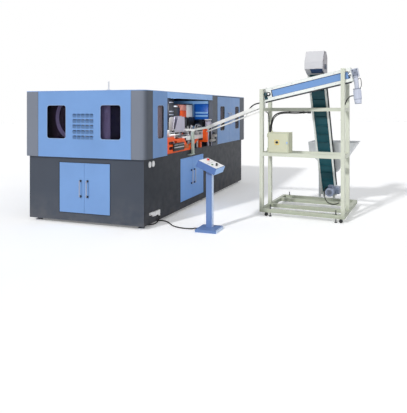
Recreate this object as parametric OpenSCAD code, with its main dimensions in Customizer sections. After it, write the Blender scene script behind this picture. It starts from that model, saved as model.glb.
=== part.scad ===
// Linear stretch blow moulding machine with its operator console and preform loader.
// Millimetres, +Z up. X runs across the machine, Y along it from the front end.
// The origin is under the centre of the levelling foot at the near front corner.

/* [Base cabinet] */
// Distance from the corner of the base to the centre of its first foot, both ways
foot_inset = 100; // [80:5:140]
// Width of the base
base_w = 2060; // [1960:10:2200]
// Length of the base
base_l = 4480; // [4380:10:4700]
// Height of the levelling feet under the base
foot_h = 50; // [44:2:70]
// Height of the base, deck plate included
base_h = 990; // [970:5:1050]
// Thickness of the sheet that closes the base
sheet_t = 4; // [3:0.5:5]
// Side of the welded tubes inside the base
base_tube = 60; // [50:5:70]
// Thickness of the deck plate
deck_t = 12; // [10:1:16]
// Depth of the folded frame round each base door
jamb_t = 30; // [28:1:36]
// Width of the folded frame round each base door
jamb_w = 40; // [34:1:50]

/* [Base doors] */
// Width of the front double door
front_door_w = 918; // [800:2:980]
// Height of the front double door
front_door_h = 773; // [700:1:790]
// Height of the lower edge of the front doors above the base's bottom
front_door_z = 123; // [110:1:130]
// Width of the side double door
side_door_w = 990; // [900:2:1100]
// Height of the side double door
side_door_h = 748; // [690:1:780]
// Height of the lower edge of the side doors above the base's bottom
side_door_z = 115; // [108:1:130]
// Distance from the front of the base to the side doors
side_door_y = 1190; // [1150:5:1250]
// Thickness of a base door
door_t = 22; // [18:1:24]
// Clearance round a door
door_gap = 4; // [3:0.5:6]
// Radius of a door's pivot pin
pivot_r = 5; // [4:0.5:6]
// Length of a door handle
handle_l = 236; // [180:2:280]
// Distance of a handle's bar from the face of its door
handle_out = 34; // [30:1:40]
// Radius of a handle's bar
handle_r = 7; // [6:0.5:9]

/* [Upper housing] */
// Height of the upper housing above the deck
housing_h = 1010; // [980:5:1060]
// How far the housing stands out past the base
overhang = 40; // [36:1:50]
// How far the housing stands out past the base at the rear
rear_overhang = 115; // [90:5:125]
// Depth of the folded panels that close the housing
skin_t = 30; // [28:1:32]
// Thickness of the panels' sheet
panel_sheet = 2.5; // [2:0.5:3]
// Side of the housing frame's tubes
tube = 50; // [46:2:54]
// Thickness of the roof
roof_t = 10; // [8:1:12]
// Outer radius of the large near corner cover
cover_r = 100; // [90:5:106]
// Outer radius of the other corner covers
far_cover_r = 36; // [34:1:60]
// Width of the near corner cover on each face
near_cover_w = 228; // [215:1:240]
// Width of the left corner cover on the front
left_cover_w = 240; // [215:1:250]
// Width of the far corner covers on the sides
far_cover_w = 345; // [330:1:360]
// Width of the fixed blue panel beside the bay
side_panel_w = 455; // [430:5:470]
// Length of the open infeed bay
bay_l = 1900; // [1860:10:1920]
// Width of the pillar after the bay
pillar_w = 272; // [250:2:290]
// Height of the blue header over the bay
header_h = 95; // [85:1:105]
// Width of the joint between panels
seam = 4; // [3:0.5:6]

/* [Windows] */
// Width of the end windows
end_window_w = 348; // [300:2:380]
// Height of all windows
window_h = 510; // [460:2:540]
// Height of the windows' lower edge above the deck
window_z = 275; // [255:1:290]
// Corner radius of the windows
window_r = 40; // [30:1:50]
// Distance from an end panel's edge to its window
window_in = 172; // [150:1:200]
// Width of the window in the fixed side panel
side_window_w = 196; // [160:2:220]
// Width of the windows in the guard doors
guard_window_w = 256; // [220:2:290]
// Distance from the near guard door's hinge edge to its window
guard_window_in = 152; // [130:2:180]
// Distance from the far guard door's hinge edge to its window
guard_far_window_in = 75; // [60:1:90]
// Thickness of a window pane
pane_t = 6; // [4:1:8]
// How far a pane laps behind its panel
pane_lap = 14; // [10:1:18]

/* [Louvres] */
// Number of louvre rows
louvre_rows = 5; // [3:1:6]
// Number of louvres in a row
louvre_cols = 5; // [3:1:6]
// Width of a louvre
louvre_w = 62; // [50:1:66]
// Height of a louvre
louvre_h = 32; // [26:1:40]
// How far a louvre stands out
louvre_d = 11; // [8:1:14]
// Distance between columns of louvres
louvre_pitch_x = 76; // [72:1:80]
// Distance between rows of louvres
louvre_pitch_z = 83; // [70:1:90]

/* [Blowing station] */
// Number of cavities
cavities = 4; // [3:1:5]
// Distance between cavities
cavity_pitch = 190; // [160:5:200]
// Radius of the bottle cavity
cavity_r = 42; // [32:1:50]
// Height of a mould half above its shoes
mould_h = 230; // [220:2:240]
// Thickness of a mould half
mould_t = 130; // [110:5:150]
// Travel of each mould half
mould_travel = 120; // [100:5:130]
// Length of the mould halves
mould_l = 840; // [820:5:900]
// Distance from the machine's middle to the clamping platens
platen_out = 520; // [500:5:560]
// Radius of a tie bar
tie_r = 30; // [25:1:36]
// Radius of a stretch rod
rod_r = 7; // [6:0.5:9]
// Travel of the stretch rods
rod_travel = 200; // [180:5:210]

/* [Oven and preform chain] */
// Length of the oven
oven_l = 1500; // [1300:10:1560]
// Height of the oven
oven_h = 520; // [460:5:560]
// Depth of the oven
oven_d = 420; // [380:5:460]
// Radius of the chain's path round its ends
chain_r = 190; // [170:2:210]
// Distance between the two ends of the chain's path
chain_l = 1560; // [1450:10:1620]
// Number of preform carriers on the chain
carriers = 48; // [36:2:60]
// Radius of the infeed star wheel
star_r = 170; // [150:2:180]
// Number of pockets in the star wheel
star_pockets = 12; // [8:1:16]

/* [Console] */
// Distance from the side of the base to the console's foot
console_x = 745; // [700:5:820]
// Distance from the front of the base to the console's foot
console_y = 140; // [120:5:200]
// Width of the console's foot
console_foot_w = 325; // [300:5:360]
// Length of the console's foot
console_foot_l = 300; // [280:5:340]
// Height of the console's foot
console_foot_h = 45; // [36:1:60]
// Width of the console's column
column_w = 92; // [80:2:110]
// Depth of the console's column
column_d = 70; // [60:2:90]
// Length of the console's head down its slope
head_l = 308; // [290:2:340]
// Width of the console's head
head_w = 352; // [330:2:380]
// Thickness of the console's head
head_t = 100; // [90:2:120]
// Height of the head's upper edge above the floor
head_top = 1033; // [980:1:1100]
// Slope of the console's head
head_tilt = 22.4; // [15:0.2:30]
// Radius of the push buttons' stems
stem_r = 11; // [9:0.5:12]
// Travel of the push buttons
press = 4; // [3:0.5:5]

/* [Loader frame] */
// Distance from the side of the base to the loader's front left post
loader_x = 1389; // [1370:1:1410]
// Distance from the front of the base to the loader's front left post
loader_y = 1394; // [1370:1:1420]
// Angle at which the loader stands to the machine
loader_yaw = -4.8; // [-6:0.1:-3]
// Distance between the left and right posts
loader_w = 1342; // [1320:2:1370]
// Distance between the front and back posts
loader_d = 415; // [410:1:430]
// Distance between the loader's front and back base rails
loader_base_l = 1235; // [1215:1:1250]
// Side of the loader's tubes
loader_tube = 60; // [56:1:62]
// Height of the underside of the base rails
rail_z = 64; // [60:1:70]
// Height of the left posts
left_post_h = 2098; // [2085:1:2110]
// Height of the right posts
right_post_h = 2399; // [2385:1:2410]
// Height of the middle rail's top
mid_rail_z = 1052; // [1030:1:1080]
// Height of the upper rail's top
upper_rail_z = 1790; // [1770:1:1800]

/* [Unscrambler trough] */
// Slope of the trough
trough_tilt = 12.2; // [11.8:0.1:12.6]
// Depth of the trough's side
trough_h = 218; // [210:1:224]
// Height of the two edge rails of the trough's side
trough_rail = 50; // [44:1:56]
// Thickness of the trough's sides
trough_side = 25; // [22:1:28]
// Width of the trough
trough_w = 185; // [182:1:188]
// Length of the trough
trough_l = 1490; // [1470:1:1500]
// Radius of the orienting rollers
roller_r = 27; // [24:0.5:29]

/* [Elevator] */
// Distance from the left post to the middle of the elevator
elevator_x = 864; // [845:1:880]
// Width of the belt
belt_w = 216; // [200:1:224]
// Thickness of the belt
belt_t = 6; // [4:1:8]
// Radius of the belt's pulleys
pulley_r = 50; // [44:1:54]
// Distance between the pulleys
elevator_l = 2378; // [2360:1:2390]
// Lean of the elevator from upright
elevator_lean = 25; // [24.5:0.1:25.5]
// Distance between cleats
cleat_pitch = 160; // [120:5:240]
// Width of the elevator's side channels
channel_w = 32; // [28:1:36]
// Depth of the elevator's side channels
channel_d = 120; // [114:1:128]

/* [Hopper and control box] */
// Length of the hopper's rim across the loader
hopper_w = 855; // [820:5:880]
// Depth of the hopper's rim
hopper_d = 560; // [520:10:600]
// Height of the hopper's rim
hopper_z = 1175; // [1160:5:1190]
// Depth of the hopper below its rim
hopper_h = 560; // [540:5:580]
// Height of the hopper's upright left side
hopper_side = 195; // [150:5:240]
// Thickness of the hopper's sheet
hopper_t = 3; // [2:0.5:4]
// Width of the control box
box_w = 358; // [330:1:400]
// Height of the control box
box_h = 334; // [300:1:360]
// Depth of the control box
box_d = 200; // [180:1:220]
// Thickness of the control box's door
box_door_t = 20; // [16:1:24]

/* [Hidden] */
$fn = 48;

// Colours
blue = [0.47, 0.63, 0.85];
slate = [0.32, 0.34, 0.38];
cover_grey = [0.47, 0.47, 0.48];
orange = [0.95, 0.33, 0.12];
cream = [0.82, 0.84, 0.75];
steel = [0.75, 0.76, 0.78];
dark = [0.15, 0.15, 0.17];
white = [0.93, 0.93, 0.92];
teal = [0.05, 0.25, 0.3];
silver = [0.7, 0.71, 0.74];
red = [0.8, 0.1, 0.08];
tinted = [0.16, 0.12, 0.16, 0.8];

// Clearances: a seat that nearly touches, a running fit, and what a boolean cut runs past a face
near = 0.3;
run = 0.05;
cut = 1;

// The base's faces
side_x = foot_inset;
front_y = -foot_inset;
left_x = side_x - base_w;
back_y = front_y + base_l;
mid_x = side_x - base_w / 2;
deck_z = foot_h + base_h;

// The housing's outer faces
out_right = side_x + overhang;
out_left = left_x - overhang;
out_front = front_y - overhang;
out_back = back_y + rear_overhang;
roof_z = deck_z + housing_h;
skin_low = deck_z - deck_t;
skin_high = roof_z - roof_t;
skin_h = skin_high - skin_low;
frame_top = skin_high;
rail_low = frame_top - tube;

// Divisions along the side
bay_y0 = out_front + near_cover_w + side_panel_w;
bay_y1 = bay_y0 + bay_l;
guard_y0 = bay_y1 + pillar_w;
guard_y1 = out_back - far_cover_w;
guard_l = guard_y1 - guard_y0;
header_z = skin_high - header_h;
hinge_gap = door_gap + 2;
win_low = deck_z + window_z;

// A square-cornered plate with rounded corners, lying in XY, made of true arcs
module round_plate(w, l, r, t) {
  linear_extrude(t) round_shape(w, l, r);
}

module round_shape(w, l, r) {
  translate([r, 0]) square([w - 2 * r, l]);
  translate([0, r]) square([w, l - 2 * r]);
  for (x = [r, w - r], y = [r, l - r]) translate([x, y]) circle(r);
}

// The housing's outline drawn in from its faces: one large corner, and three of the radius r
module plan(inset, near_r, r) {
  w = out_right - out_left - 2 * inset;
  translate([out_left + inset, out_front + inset]) {
    difference() {
      round_shape(w, out_back - out_front - 2 * inset, r);
      translate([w - near_r, -cut]) square([near_r + cut, near_r + cut]);
    }
    translate([w - near_r, near_r]) circle(near_r);
  }
}

// A folded panel that lies in XY with its sheet on top: flanges go down by its depth
module tray(w, h, depth = skin_t) {
  difference() {
    cube([w, h, depth]);
    translate([panel_sheet, panel_sheet, -cut])
      cube([w - 2 * panel_sheet, h - 2 * panel_sheet, depth - panel_sheet + cut]);
  }
}

// Places what lies in XY on the front face: X right, Y up, Z out of the machine
module on_front(x, z) {
  translate([x, out_front + skin_t, z]) rotate([90, 0, 0]) children();
}

// Places what lies in XY on the right side: X along the machine, Y up, Z out of it
module on_side(y, z) {
  translate([out_right - skin_t, y, z]) rotate([90, 0, 90]) children();
}

// The same on the hidden left side and the rear
module on_left(y, z) {
  translate([out_left + skin_t, y, z]) rotate([90, 0, -90]) children();
}

module on_rear(x, z) {
  translate([x, out_back - skin_t, z]) rotate([90, 0, 180]) children();
}

module window_hole(x, y, w) {
  translate([x, y, -cut]) round_plate(w, window_h, window_r, skin_t + 2 * cut);
}

module pane(x, y, w) {
  translate([x - pane_lap, y - pane_lap, skin_t - panel_sheet - pane_t])
    round_plate(w + 2 * pane_lap, window_h + 2 * pane_lap, window_r + pane_lap, pane_t);
}

// Base cabinet: sheet shell, welded tubes, deck plate and door frames
module box_between(a, b) {
  translate(a) cube(b - a);
}

module edge_tubes() {
  x0 = left_x + sheet_t;
  x1 = side_x - sheet_t - base_tube;
  y0 = front_y + sheet_t;
  y1 = back_y - sheet_t - base_tube;
  z0 = foot_h + sheet_t;
  z1 = deck_z - deck_t - base_tube;
  for (x = [x0, x1], z = [z0, z1]) translate([x, y0, z]) cube([base_tube, y1 - y0 + base_tube, base_tube]);
  for (y = [y0, y1], z = [z0, z1]) translate([x0, y, z]) cube([x1 - x0 + base_tube, base_tube, base_tube]);
  for (x = [x0, x1], y = [y0, y1]) translate([x, y, z0]) cube([base_tube, base_tube, z1 - z0]);
}

// A door frame in XY, sheet side up, round an opening of w by h
module jamb(w, h) {
  difference() {
    translate([-jamb_w, -jamb_w, 0]) cube([w + 2 * jamb_w, h + 2 * jamb_w, jamb_t - sheet_t]);
    translate([0, 0, -cut]) cube([w, h, jamb_t + 2 * cut]);
  }
}

pivot_side = 14;
pivot_in = 10;

// The cut for a double door in XY, and the four bores for its pivots
module door_cut(w, h) {
  translate([0, 0, -cut]) cube([w, h, jamb_t + 2 * cut]);
  for (x = [pivot_side, w - pivot_side])
    translate([x, -pin_depth - near, jamb_t - pivot_in]) rotate([-90, 0, 0])
      cylinder(r = pivot_r + run, h = h + 2 * (pin_depth + near));
}

pin_depth = 8;
front_door_x = mid_x - front_door_w / 2;

module at_front_door() {
  translate([front_door_x, front_y + jamb_t, foot_h + front_door_z]) rotate([90, 0, 0]) children();
}

module at_side_door() {
  translate([side_x - jamb_t, front_y + side_door_y, foot_h + side_door_z]) rotate([90, 0, 90]) children();
}

module deck_plate() {
  translate([0, 0, deck_z - deck_t])
    linear_extrude(deck_t) plan(skin_t, cover_r - skin_t + 1, far_cover_r - skin_t + 1);
}

module base_cabinet() color(slate) difference() {
  union() {
    difference() {
      box_between([left_x, front_y, foot_h], [side_x, back_y, deck_z - deck_t]);
      box_between([left_x + sheet_t, front_y + sheet_t, foot_h + sheet_t],
                  [side_x - sheet_t, back_y - sheet_t, deck_z - deck_t + cut]);
    }
    edge_tubes();
    deck_plate();
    at_front_door() jamb(front_door_w, front_door_h);
    at_side_door() jamb(side_door_w, side_door_h);
  }
  at_front_door() door_cut(front_door_w, front_door_h);
  at_side_door() door_cut(side_door_w, side_door_h);
}

// Levelling feet: pad, cone and stud
foot_r = 50;
pad_t = 14;
stud_r = 14;
cone_h = 12;

module foot() {
  cylinder(r = foot_r, h = pad_t);
  translate([0, 0, pad_t]) cylinder(r1 = foot_r * 0.8, r2 = stud_r + 4, h = cone_h);
  translate([0, 0, pad_t + cone_h]) cylinder(r = stud_r, h = foot_h - pad_t - cone_h);
}

foot_xs = [0, -(base_w - 2 * foot_inset)];
foot_ys = [0, (base_l - 2 * foot_inset) / 2, base_l - 2 * foot_inset];

module levelling_feet() color(silver)
  for (x = foot_xs, y = foot_ys) translate([x, y, 0]) foot();

// Housing frame: posts on the deck, a ring of rails under the roof and two cross beams, butted
post_in = cover_r - tube / 2 - 21;
corner_end = post_in + tube;
post_xs = [out_left + skin_t, out_right - skin_t - tube];
post_ys = [bay_y0 - tube, bay_y1, guard_y0 - tube, guard_y1];

module upright(x, y, top) {
  translate([x, y, deck_z]) cube([tube, tube, top - deck_z]);
}

module housing_frame() color(cover_grey) {
  side_y = out_front + corner_end + near;
  end_x = out_left + corner_end + near;
  for (x = [out_left + post_in, out_right - corner_end], y = [out_front + post_in, out_back - corner_end])
    upright(x, y, frame_top);
  for (x = post_xs) {
    for (y = post_ys) upright(x, y, rail_low - near);
    translate([x, side_y, rail_low]) cube([tube, out_back - corner_end - near - side_y, tube]);
  }
  for (y = [out_front + skin_t, out_back - skin_t - tube])
    translate([end_x, y, rail_low]) cube([out_right - corner_end - near - end_x, tube, tube]);
  for (y = [bay_y0 - tube, bay_y1])
    translate([post_xs[0] + tube + near, y, rail_low])
      cube([post_xs[1] - post_xs[0] - tube - 2 * near, tube, tube]);
  for (y = [guard_y0, guard_y1 - lug_l], z = [skin_low, skin_high - lug_t]) guard_lug(y, z);
}

// Lugs that carry the guard doors' pivots, one under and one over each door
lug_l = 46;
lug_t = 10;

module guard_lug(y, z) {
  pin_y = y == guard_y0 ? guard_y0 + pivot_side : guard_y1 - pivot_side;
  z_bore = z == skin_low ? z + lug_t - pin_depth - near : z - cut;
  difference() {
    translate([out_right - skin_t + near, y, z]) cube([skin_t - near, lug_l, lug_t]);
    translate([out_right - pivot_in, pin_y, z_bore]) cylinder(r = pivot_r + run, h = pin_depth + near + cut);
  }
}

// Corner covers: an arc with a leg on each face
module corner_shape(a, b, r) {
  difference() {
    union() {
      translate([r, r]) circle(r);
      translate([r, 0]) square([a - r, skin_t]);
      translate([0, r]) square([skin_t, b - r]);
    }
    translate([r, r]) circle(r - skin_t);
    translate([skin_t, r]) square([r + 2 * skin_t, r + 2 * skin_t]);
    translate([r, skin_t]) square([r + 2 * skin_t, r + 2 * skin_t]);
  }
}

module corner_cover(a, b, r) {
  linear_extrude(skin_h) corner_shape(a, b, r);
}

module corner_covers() color(cover_grey) translate([0, 0, skin_low]) {
  translate([out_left, out_front]) corner_cover(left_cover_w, near_cover_w, far_cover_r);
  translate([out_right, out_front]) mirror([1, 0, 0]) corner_cover(near_cover_w, near_cover_w, cover_r);
  translate([out_left, out_back]) mirror([0, 1, 0]) corner_cover(near_cover_w, far_cover_w, far_cover_r);
  translate([out_right, out_back]) mirror([1, 0, 0]) mirror([0, 1, 0])
    corner_cover(near_cover_w, far_cover_w, far_cover_r);
}

// Front panel with two windows and a field of louvres
front_x0 = out_left + left_cover_w + seam;
front_w = out_right - near_cover_w - seam - front_x0;
front_windows = [window_in, front_w - window_in - end_window_w];
louvre_slot = 12;

module louvre() {
  rotate([90, 0, 90]) linear_extrude(louvre_w)
    polygon([[0, 0], [0, 1], [louvre_h - 2, louvre_d], [louvre_h, louvre_d], [louvre_h, 0]]);
}

module at_louvres() {
  x0 = front_w / 2 - (louvre_cols - 1) * louvre_pitch_x / 2 - louvre_w / 2;
  z0 = win_low - skin_low + window_h / 2 - (louvre_rows - 1) * louvre_pitch_z / 2 - louvre_h / 2 - 68;
  for (i = [0:louvre_cols - 1], k = [0:louvre_rows - 1])
    translate([x0 + i * louvre_pitch_x, z0 + k * louvre_pitch_z, skin_t]) children();
}

module front_panel() color(blue) on_front(front_x0, skin_low) {
  difference() {
    tray(front_w, skin_h);
    for (x = front_windows) window_hole(x, win_low - skin_low, end_window_w);
    at_louvres() translate([2, louvre_h, -skin_t]) cube([louvre_w - 4, louvre_slot, skin_t + cut]);
  }
  at_louvres() louvre();
}

// Fixed panel beside the bay, header over it and pillar after it
side_window_x = (side_panel_w - side_window_w) * 0.53;
window_y = win_low - skin_low;

module side_panel() color(blue) on_side(out_front + near_cover_w + seam, skin_low)
  difference() {
    tray(side_panel_w - seam, skin_h);
    window_hole(side_window_x, window_y, side_window_w);
  }

module bay_header() color([0.62, 0.76, 0.93]) on_side(bay_y0 + seam, header_z)
  tray(bay_l - 2 * seam, header_h);

module bay_pillar() color(cover_grey) on_side(bay_y1, skin_low) tray(pillar_w - seam, skin_h);

// Roof, and the plain panels of the left side and the rear
left_splits = [out_front + near_cover_w, bay_y0, bay_y1, guard_y0, guard_y1];
rear_x0 = out_right - near_cover_w - seam;
rear_w = rear_x0 - (out_left + near_cover_w + seam);

module closing_panels() color(blue) {
  translate([0, 0, skin_high]) linear_extrude(roof_t) plan(0, cover_r, far_cover_r);
  for (i = [0:3])
    on_left(left_splits[i + 1] - seam / 2, skin_low)
      tray(left_splits[i + 1] - left_splits[i] - seam, skin_h - near);
  on_rear(rear_x0, skin_low) difference() {
    tray(rear_w, skin_h - near);
    for (x = [window_in, rear_w - window_in - end_window_w]) window_hole(x, window_y, end_window_w);
  }
}

module window_panes() color(tinted) {
  on_front(front_x0, skin_low)
    for (x = front_windows) pane(x, window_y, end_window_w);
  on_rear(rear_x0, skin_low)
    for (x = [window_in, rear_w - window_in - end_window_w]) pane(x, window_y, end_window_w);
  on_side(out_front + near_cover_w + seam, skin_low) pane(side_window_x, window_y, side_window_w);
}

// Guard doors over the blowing station, hung on pivots at their outer edges
guard_leaf_w = guard_l / 2 - hinge_gap - seam / 2;
guard_low = skin_low + lug_t + door_gap;
guard_h = skin_high - lug_t - door_gap - guard_low;
guard_handle_z = 402;

// A leaf of w by h in XY with its face at the depth t: hinge edge at x 0, handle near the far edge
module handle(l) {
  for (y = [0, l]) translate([0, y, 0]) cylinder(r = handle_r, h = handle_out + handle_r);
  translate([0, 0, handle_out]) rotate([-90, 0, 0]) cylinder(r = handle_r, h = l);
}

module pivots(h) {
  for (y = [-door_gap - pin_depth, h])
    translate([pivot_side - hinge_gap, y, 0]) rotate([-90, 0, 0]) cylinder(r = pivot_r, h = pin_depth + door_gap);
}

module guard_leaf(window_at) {
  handle_y = deck_z + guard_handle_z - guard_low;
  difference() {
    translate([0, 0, panel_sheet]) tray(guard_leaf_w, guard_h, skin_t - panel_sheet);
    translate([window_at, win_low - guard_low, -cut])
      round_plate(guard_window_w, window_h, window_r, skin_t + 2 * cut);
  }
  translate([0, 0, skin_t - 2 * pivot_in]) cube([2 * (pivot_side - hinge_gap), guard_h, 2 * pivot_in]);
  translate([0, 0, skin_t - pivot_in]) pivots(guard_h);
  translate([guard_leaf_w - 60, handle_y, skin_t]) handle(handle_l);
}

module at_guard_left() {
  on_side(guard_y0 + hinge_gap, guard_low) children();
}

module at_guard_right() {
  on_side(guard_y1 - hinge_gap, guard_low) mirror([1, 0, 0]) children();
}

module guard_pane(window_at) {
  pane(window_at, win_low - guard_low, guard_window_w);
}

module guard_door_left() color(blue) at_guard_left() guard_leaf(guard_window_in);
module guard_door_right() color(blue) at_guard_right() guard_leaf(guard_far_window_in);
module guard_window_left() color(tinted) at_guard_left() guard_pane(guard_window_in);
module guard_window_right() color(tinted) at_guard_right() guard_pane(guard_far_window_in);

// Base doors
module base_leaf(w, h, handle_z) {
  leaf_w = w / 2 - hinge_gap - door_gap / 2;
  leaf_h = h - 2 * door_gap;
  translate([0, 0, -door_t]) tray(leaf_w, leaf_h, door_t);
  translate([0, 0, -2 * pivot_in]) cube([2 * (pivot_side - hinge_gap), leaf_h, 2 * pivot_in - panel_sheet]);
  translate([0, 0, -pivot_in]) pivots(leaf_h);
  translate([leaf_w - 60, handle_z, 0]) handle(handle_l);
}

base_handle_z = 258;

module front_leaf() {
  base_leaf(front_door_w, front_door_h, base_handle_z);
}

module side_leaf() {
  base_leaf(side_door_w, side_door_h, base_handle_z + 6);
}

module front_door_left() color(blue) at_front_door()
  translate([hinge_gap, door_gap, jamb_t]) front_leaf();

module front_door_right() color(blue) at_front_door()
  translate([front_door_w - hinge_gap, door_gap, jamb_t]) mirror([1, 0, 0]) front_leaf();

module side_door_left() color(blue) at_side_door()
  translate([hinge_gap, door_gap, jamb_t]) side_leaf();

module side_door_right() color(blue) at_side_door()
  translate([side_door_w - hinge_gap, door_gap, jamb_t]) mirror([1, 0, 0]) side_leaf();

// Signal rod on the roof
signal_x = side_x - 620;
signal_y = out_front + 75;
signal_r = 10;
signal_h = 140;

module signal_rod() color([0.85, 0.85, 0.87]) translate([signal_x, signal_y, roof_z]) {
  cylinder(r = 34, h = 6);
  translate([0, 0, 6]) cylinder(r1 = 30, r2 = signal_r, h = 12);
  cylinder(r = signal_r, h = signal_h - signal_r);
  translate([0, 0, signal_h - signal_r]) sphere(signal_r);
}

// Cable outlet and two oval caps on the side of the base
outlet_y = front_y + 147;
outlet_l = 290;
outlet_d = 26;
cap_ys = [front_y + 164, front_y + 264];
cap_z = 940;
gland_y = front_y + 423;
gland_z = 176;
gland_out = 25;
gland_r = 14;

module oval(l, h, t) {
  translate([0, -(h - l) / 2, 0]) cylinder(d = l, h = t);
  translate([0, (h - l) / 2, 0]) cylinder(d = l, h = t);
  translate([-l / 2, -(h - l) / 2, 0]) cube([l, h - l, t]);
}

module on_base_side(y, z) {
  translate([side_x, y, z]) rotate([90, 0, 90]) children();
}

module cable_ports() color(white) {
  for (y = cap_ys) on_base_side(y, cap_z) {
    oval(72, 92, 8);
    translate([0, 0, 8]) oval(52, 72, 5);
  }
  on_base_side(outlet_y, gland_z) {
    translate([0, 8, 0]) cube([100, 36, outlet_d]);
    translate([86, -24, 0]) cube([outlet_l - 86, 62, outlet_d]);
    translate([126, 4, outlet_d]) difference() {
      cylinder(r = 28, h = 10);
      translate([0, 0, -cut]) cylinder(r = 17, h = 10 + 2 * cut);
    }
  }
  translate([side_x + gland_out, gland_y - 14, gland_z - 24 - 22]) cylinder(r = gland_r, h = 22);
}

// Oven: a C-shaped housing with quartz lamps between its ends, on legs
oven_x = mid_x - 60;
oven_y = bay_y0 - 330;
oven_z = deck_z + 110;
oven_wall = 40;
lamp_r = 7;
lamp_rows = 6;
leg = 60;

module oven_tunnel() color(steel) translate([oven_x - oven_d, oven_y, oven_z]) {
  rotate([90, 0, 0]) mirror([0, 0, 1]) linear_extrude(oven_l)
    polygon([[0, 0], [oven_d, 0], [oven_d, oven_wall], [oven_wall, oven_wall],
             [oven_wall, oven_h - oven_wall], [oven_d, oven_h - oven_wall], [oven_d, oven_h], [0, oven_h]]);
  for (y = [0, oven_l - oven_wall]) translate([0, y, 0]) cube([oven_d / 2, oven_wall, oven_h]);
  for (k = [0:lamp_rows - 1])
    translate([oven_wall + 60, 0, oven_wall + 60 + k * (oven_h - 2 * oven_wall - 120) / (lamp_rows - 1)])
      rotate([-90, 0, 0]) cylinder(r = lamp_r, h = oven_l);
  for (x = [0, oven_d - leg], y = [0, oven_l - leg])
    translate([x, y, deck_z - oven_z]) cube([leg, leg, oven_z - deck_z]);
}

// Preform chain: two shelves with a band of carriers between the oven and the star wheel
chain_x = oven_x - 120;
chain_y = oven_y + 160;
chain_z = oven_z + 170;
band_t = 14;
band_w = 40;
carrier_r = 14;
carrier_h = 120;
straight = chain_l;
lap = 2 * straight + 2 * PI * chain_r;

module stadium(r) {
  circle(r);
  translate([0, straight]) circle(r);
  translate([-r, 0]) square([2 * r, straight]);
}

// A point on the chain's path at the distance s along it
function chain_at(s) =
  s < straight ? [chain_r, s]
  : s < straight + PI * chain_r ? let (a = (s - straight) / chain_r * 180 / PI)
      [chain_r * cos(a), straight + chain_r * sin(a)]
  : s < 2 * straight + PI * chain_r ? [-chain_r, 2 * straight + PI * chain_r - s]
  : let (a = 180 + (s - 2 * straight - PI * chain_r) / chain_r * 180 / PI) [chain_r * cos(a), chain_r * sin(a)];

module preform_chain() color(silver) translate([chain_x + chain_r, chain_y, 0]) {
  translate([0, 0, chain_z]) linear_extrude(band_t) difference() {
    stadium(chain_r + band_w / 2);
    stadium(chain_r - band_w / 2);
  }
  for (i = [0:carriers - 1]) translate(chain_at(i * lap / carriers)) translate([0, 0, chain_z + band_t]) {
    cylinder(r = carrier_r, h = carrier_h * 0.6, $fn = 24);
    cylinder(r = carrier_r * 0.6, h = carrier_h, $fn = 24);
  }
  for (y = [0.15, 0.5, 0.85])
    translate([chain_r - 20, y * straight, deck_z]) cube([40, 40, chain_z - deck_z]);
  for (y = [0, straight]) translate([0, y, deck_z]) bearing_post(60, chain_z - deck_z - sprocket_t);
}

shaft_r = 20;
shaft_l = 60;

// A post with a blind bore for a stub shaft in its top
module bearing_post(r, h) {
  difference() {
    cylinder(r = r, h = h);
    translate([0, 0, h - shaft_l - near]) cylinder(r = shaft_r + run, h = shaft_l + near + cut);
  }
}

sprocket_t = 40;
sprocket_teeth = 16;
sprocket_r = chain_r - band_w / 2 - 2;

// The sprocket at the near end of the chain, with its stub shaft over the bearing post
module chain_sprocket() color(steel) translate([chain_x + chain_r, chain_y, chain_z - sprocket_t + near]) {
  linear_extrude(sprocket_t) difference() {
    circle(sprocket_r);
    for (i = [0:sprocket_teeth - 1]) rotate(i * 360 / sprocket_teeth) translate([sprocket_r, 0]) circle(14, $fn = 24);
    for (i = [0:4]) rotate(i * 72) translate([sprocket_r * 0.58, 0]) circle(26);
  }
  translate([0, 0, sprocket_t]) cylinder(r = 30, h = 50);
  translate([0, 0, -shaft_l]) cylinder(r = shaft_r, h = shaft_l);
}

// Star wheel that hands preforms from the rails to the chain
star_x = chain_x + 2 * chain_r + band_w / 2 + star_r + 12;
star_y = bay_y0 + 900;
star_z = chain_z + 40;

module star_wheel() color(white) translate([star_x, star_y, star_z]) {
  linear_extrude(16) difference() {
    circle(star_r);
    for (i = [0:star_pockets - 1]) rotate(i * 360 / star_pockets) translate([star_r, 0]) circle(17, $fn = 24);
    for (i = [0:5]) rotate(i * 60) translate([star_r * 0.55, 0]) circle(28);
  }
  translate([0, 0, 16]) cylinder(r = 34, h = 30);
  translate([0, 0, -30]) cylinder(r = 30, h = 30);
  translate([0, 0, -30 - shaft_l]) cylinder(r = shaft_r, h = shaft_l);
}

// Blowing station: two platens on tie bars, two sliding mould halves, stretch rods above
clamp_y = guard_y0 + (guard_l - mould_l) / 2;
clamp_z = deck_z + 140;
platen_t = 90;
bed_t = 60;
rail_w = 60;
tie_z = clamp_z + mould_h + tie_r + 14;
head_plate_z = tie_z + tie_r + 150;
crosshead_t = 50;
guide_r = 10;
guide_in = 85;

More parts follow.
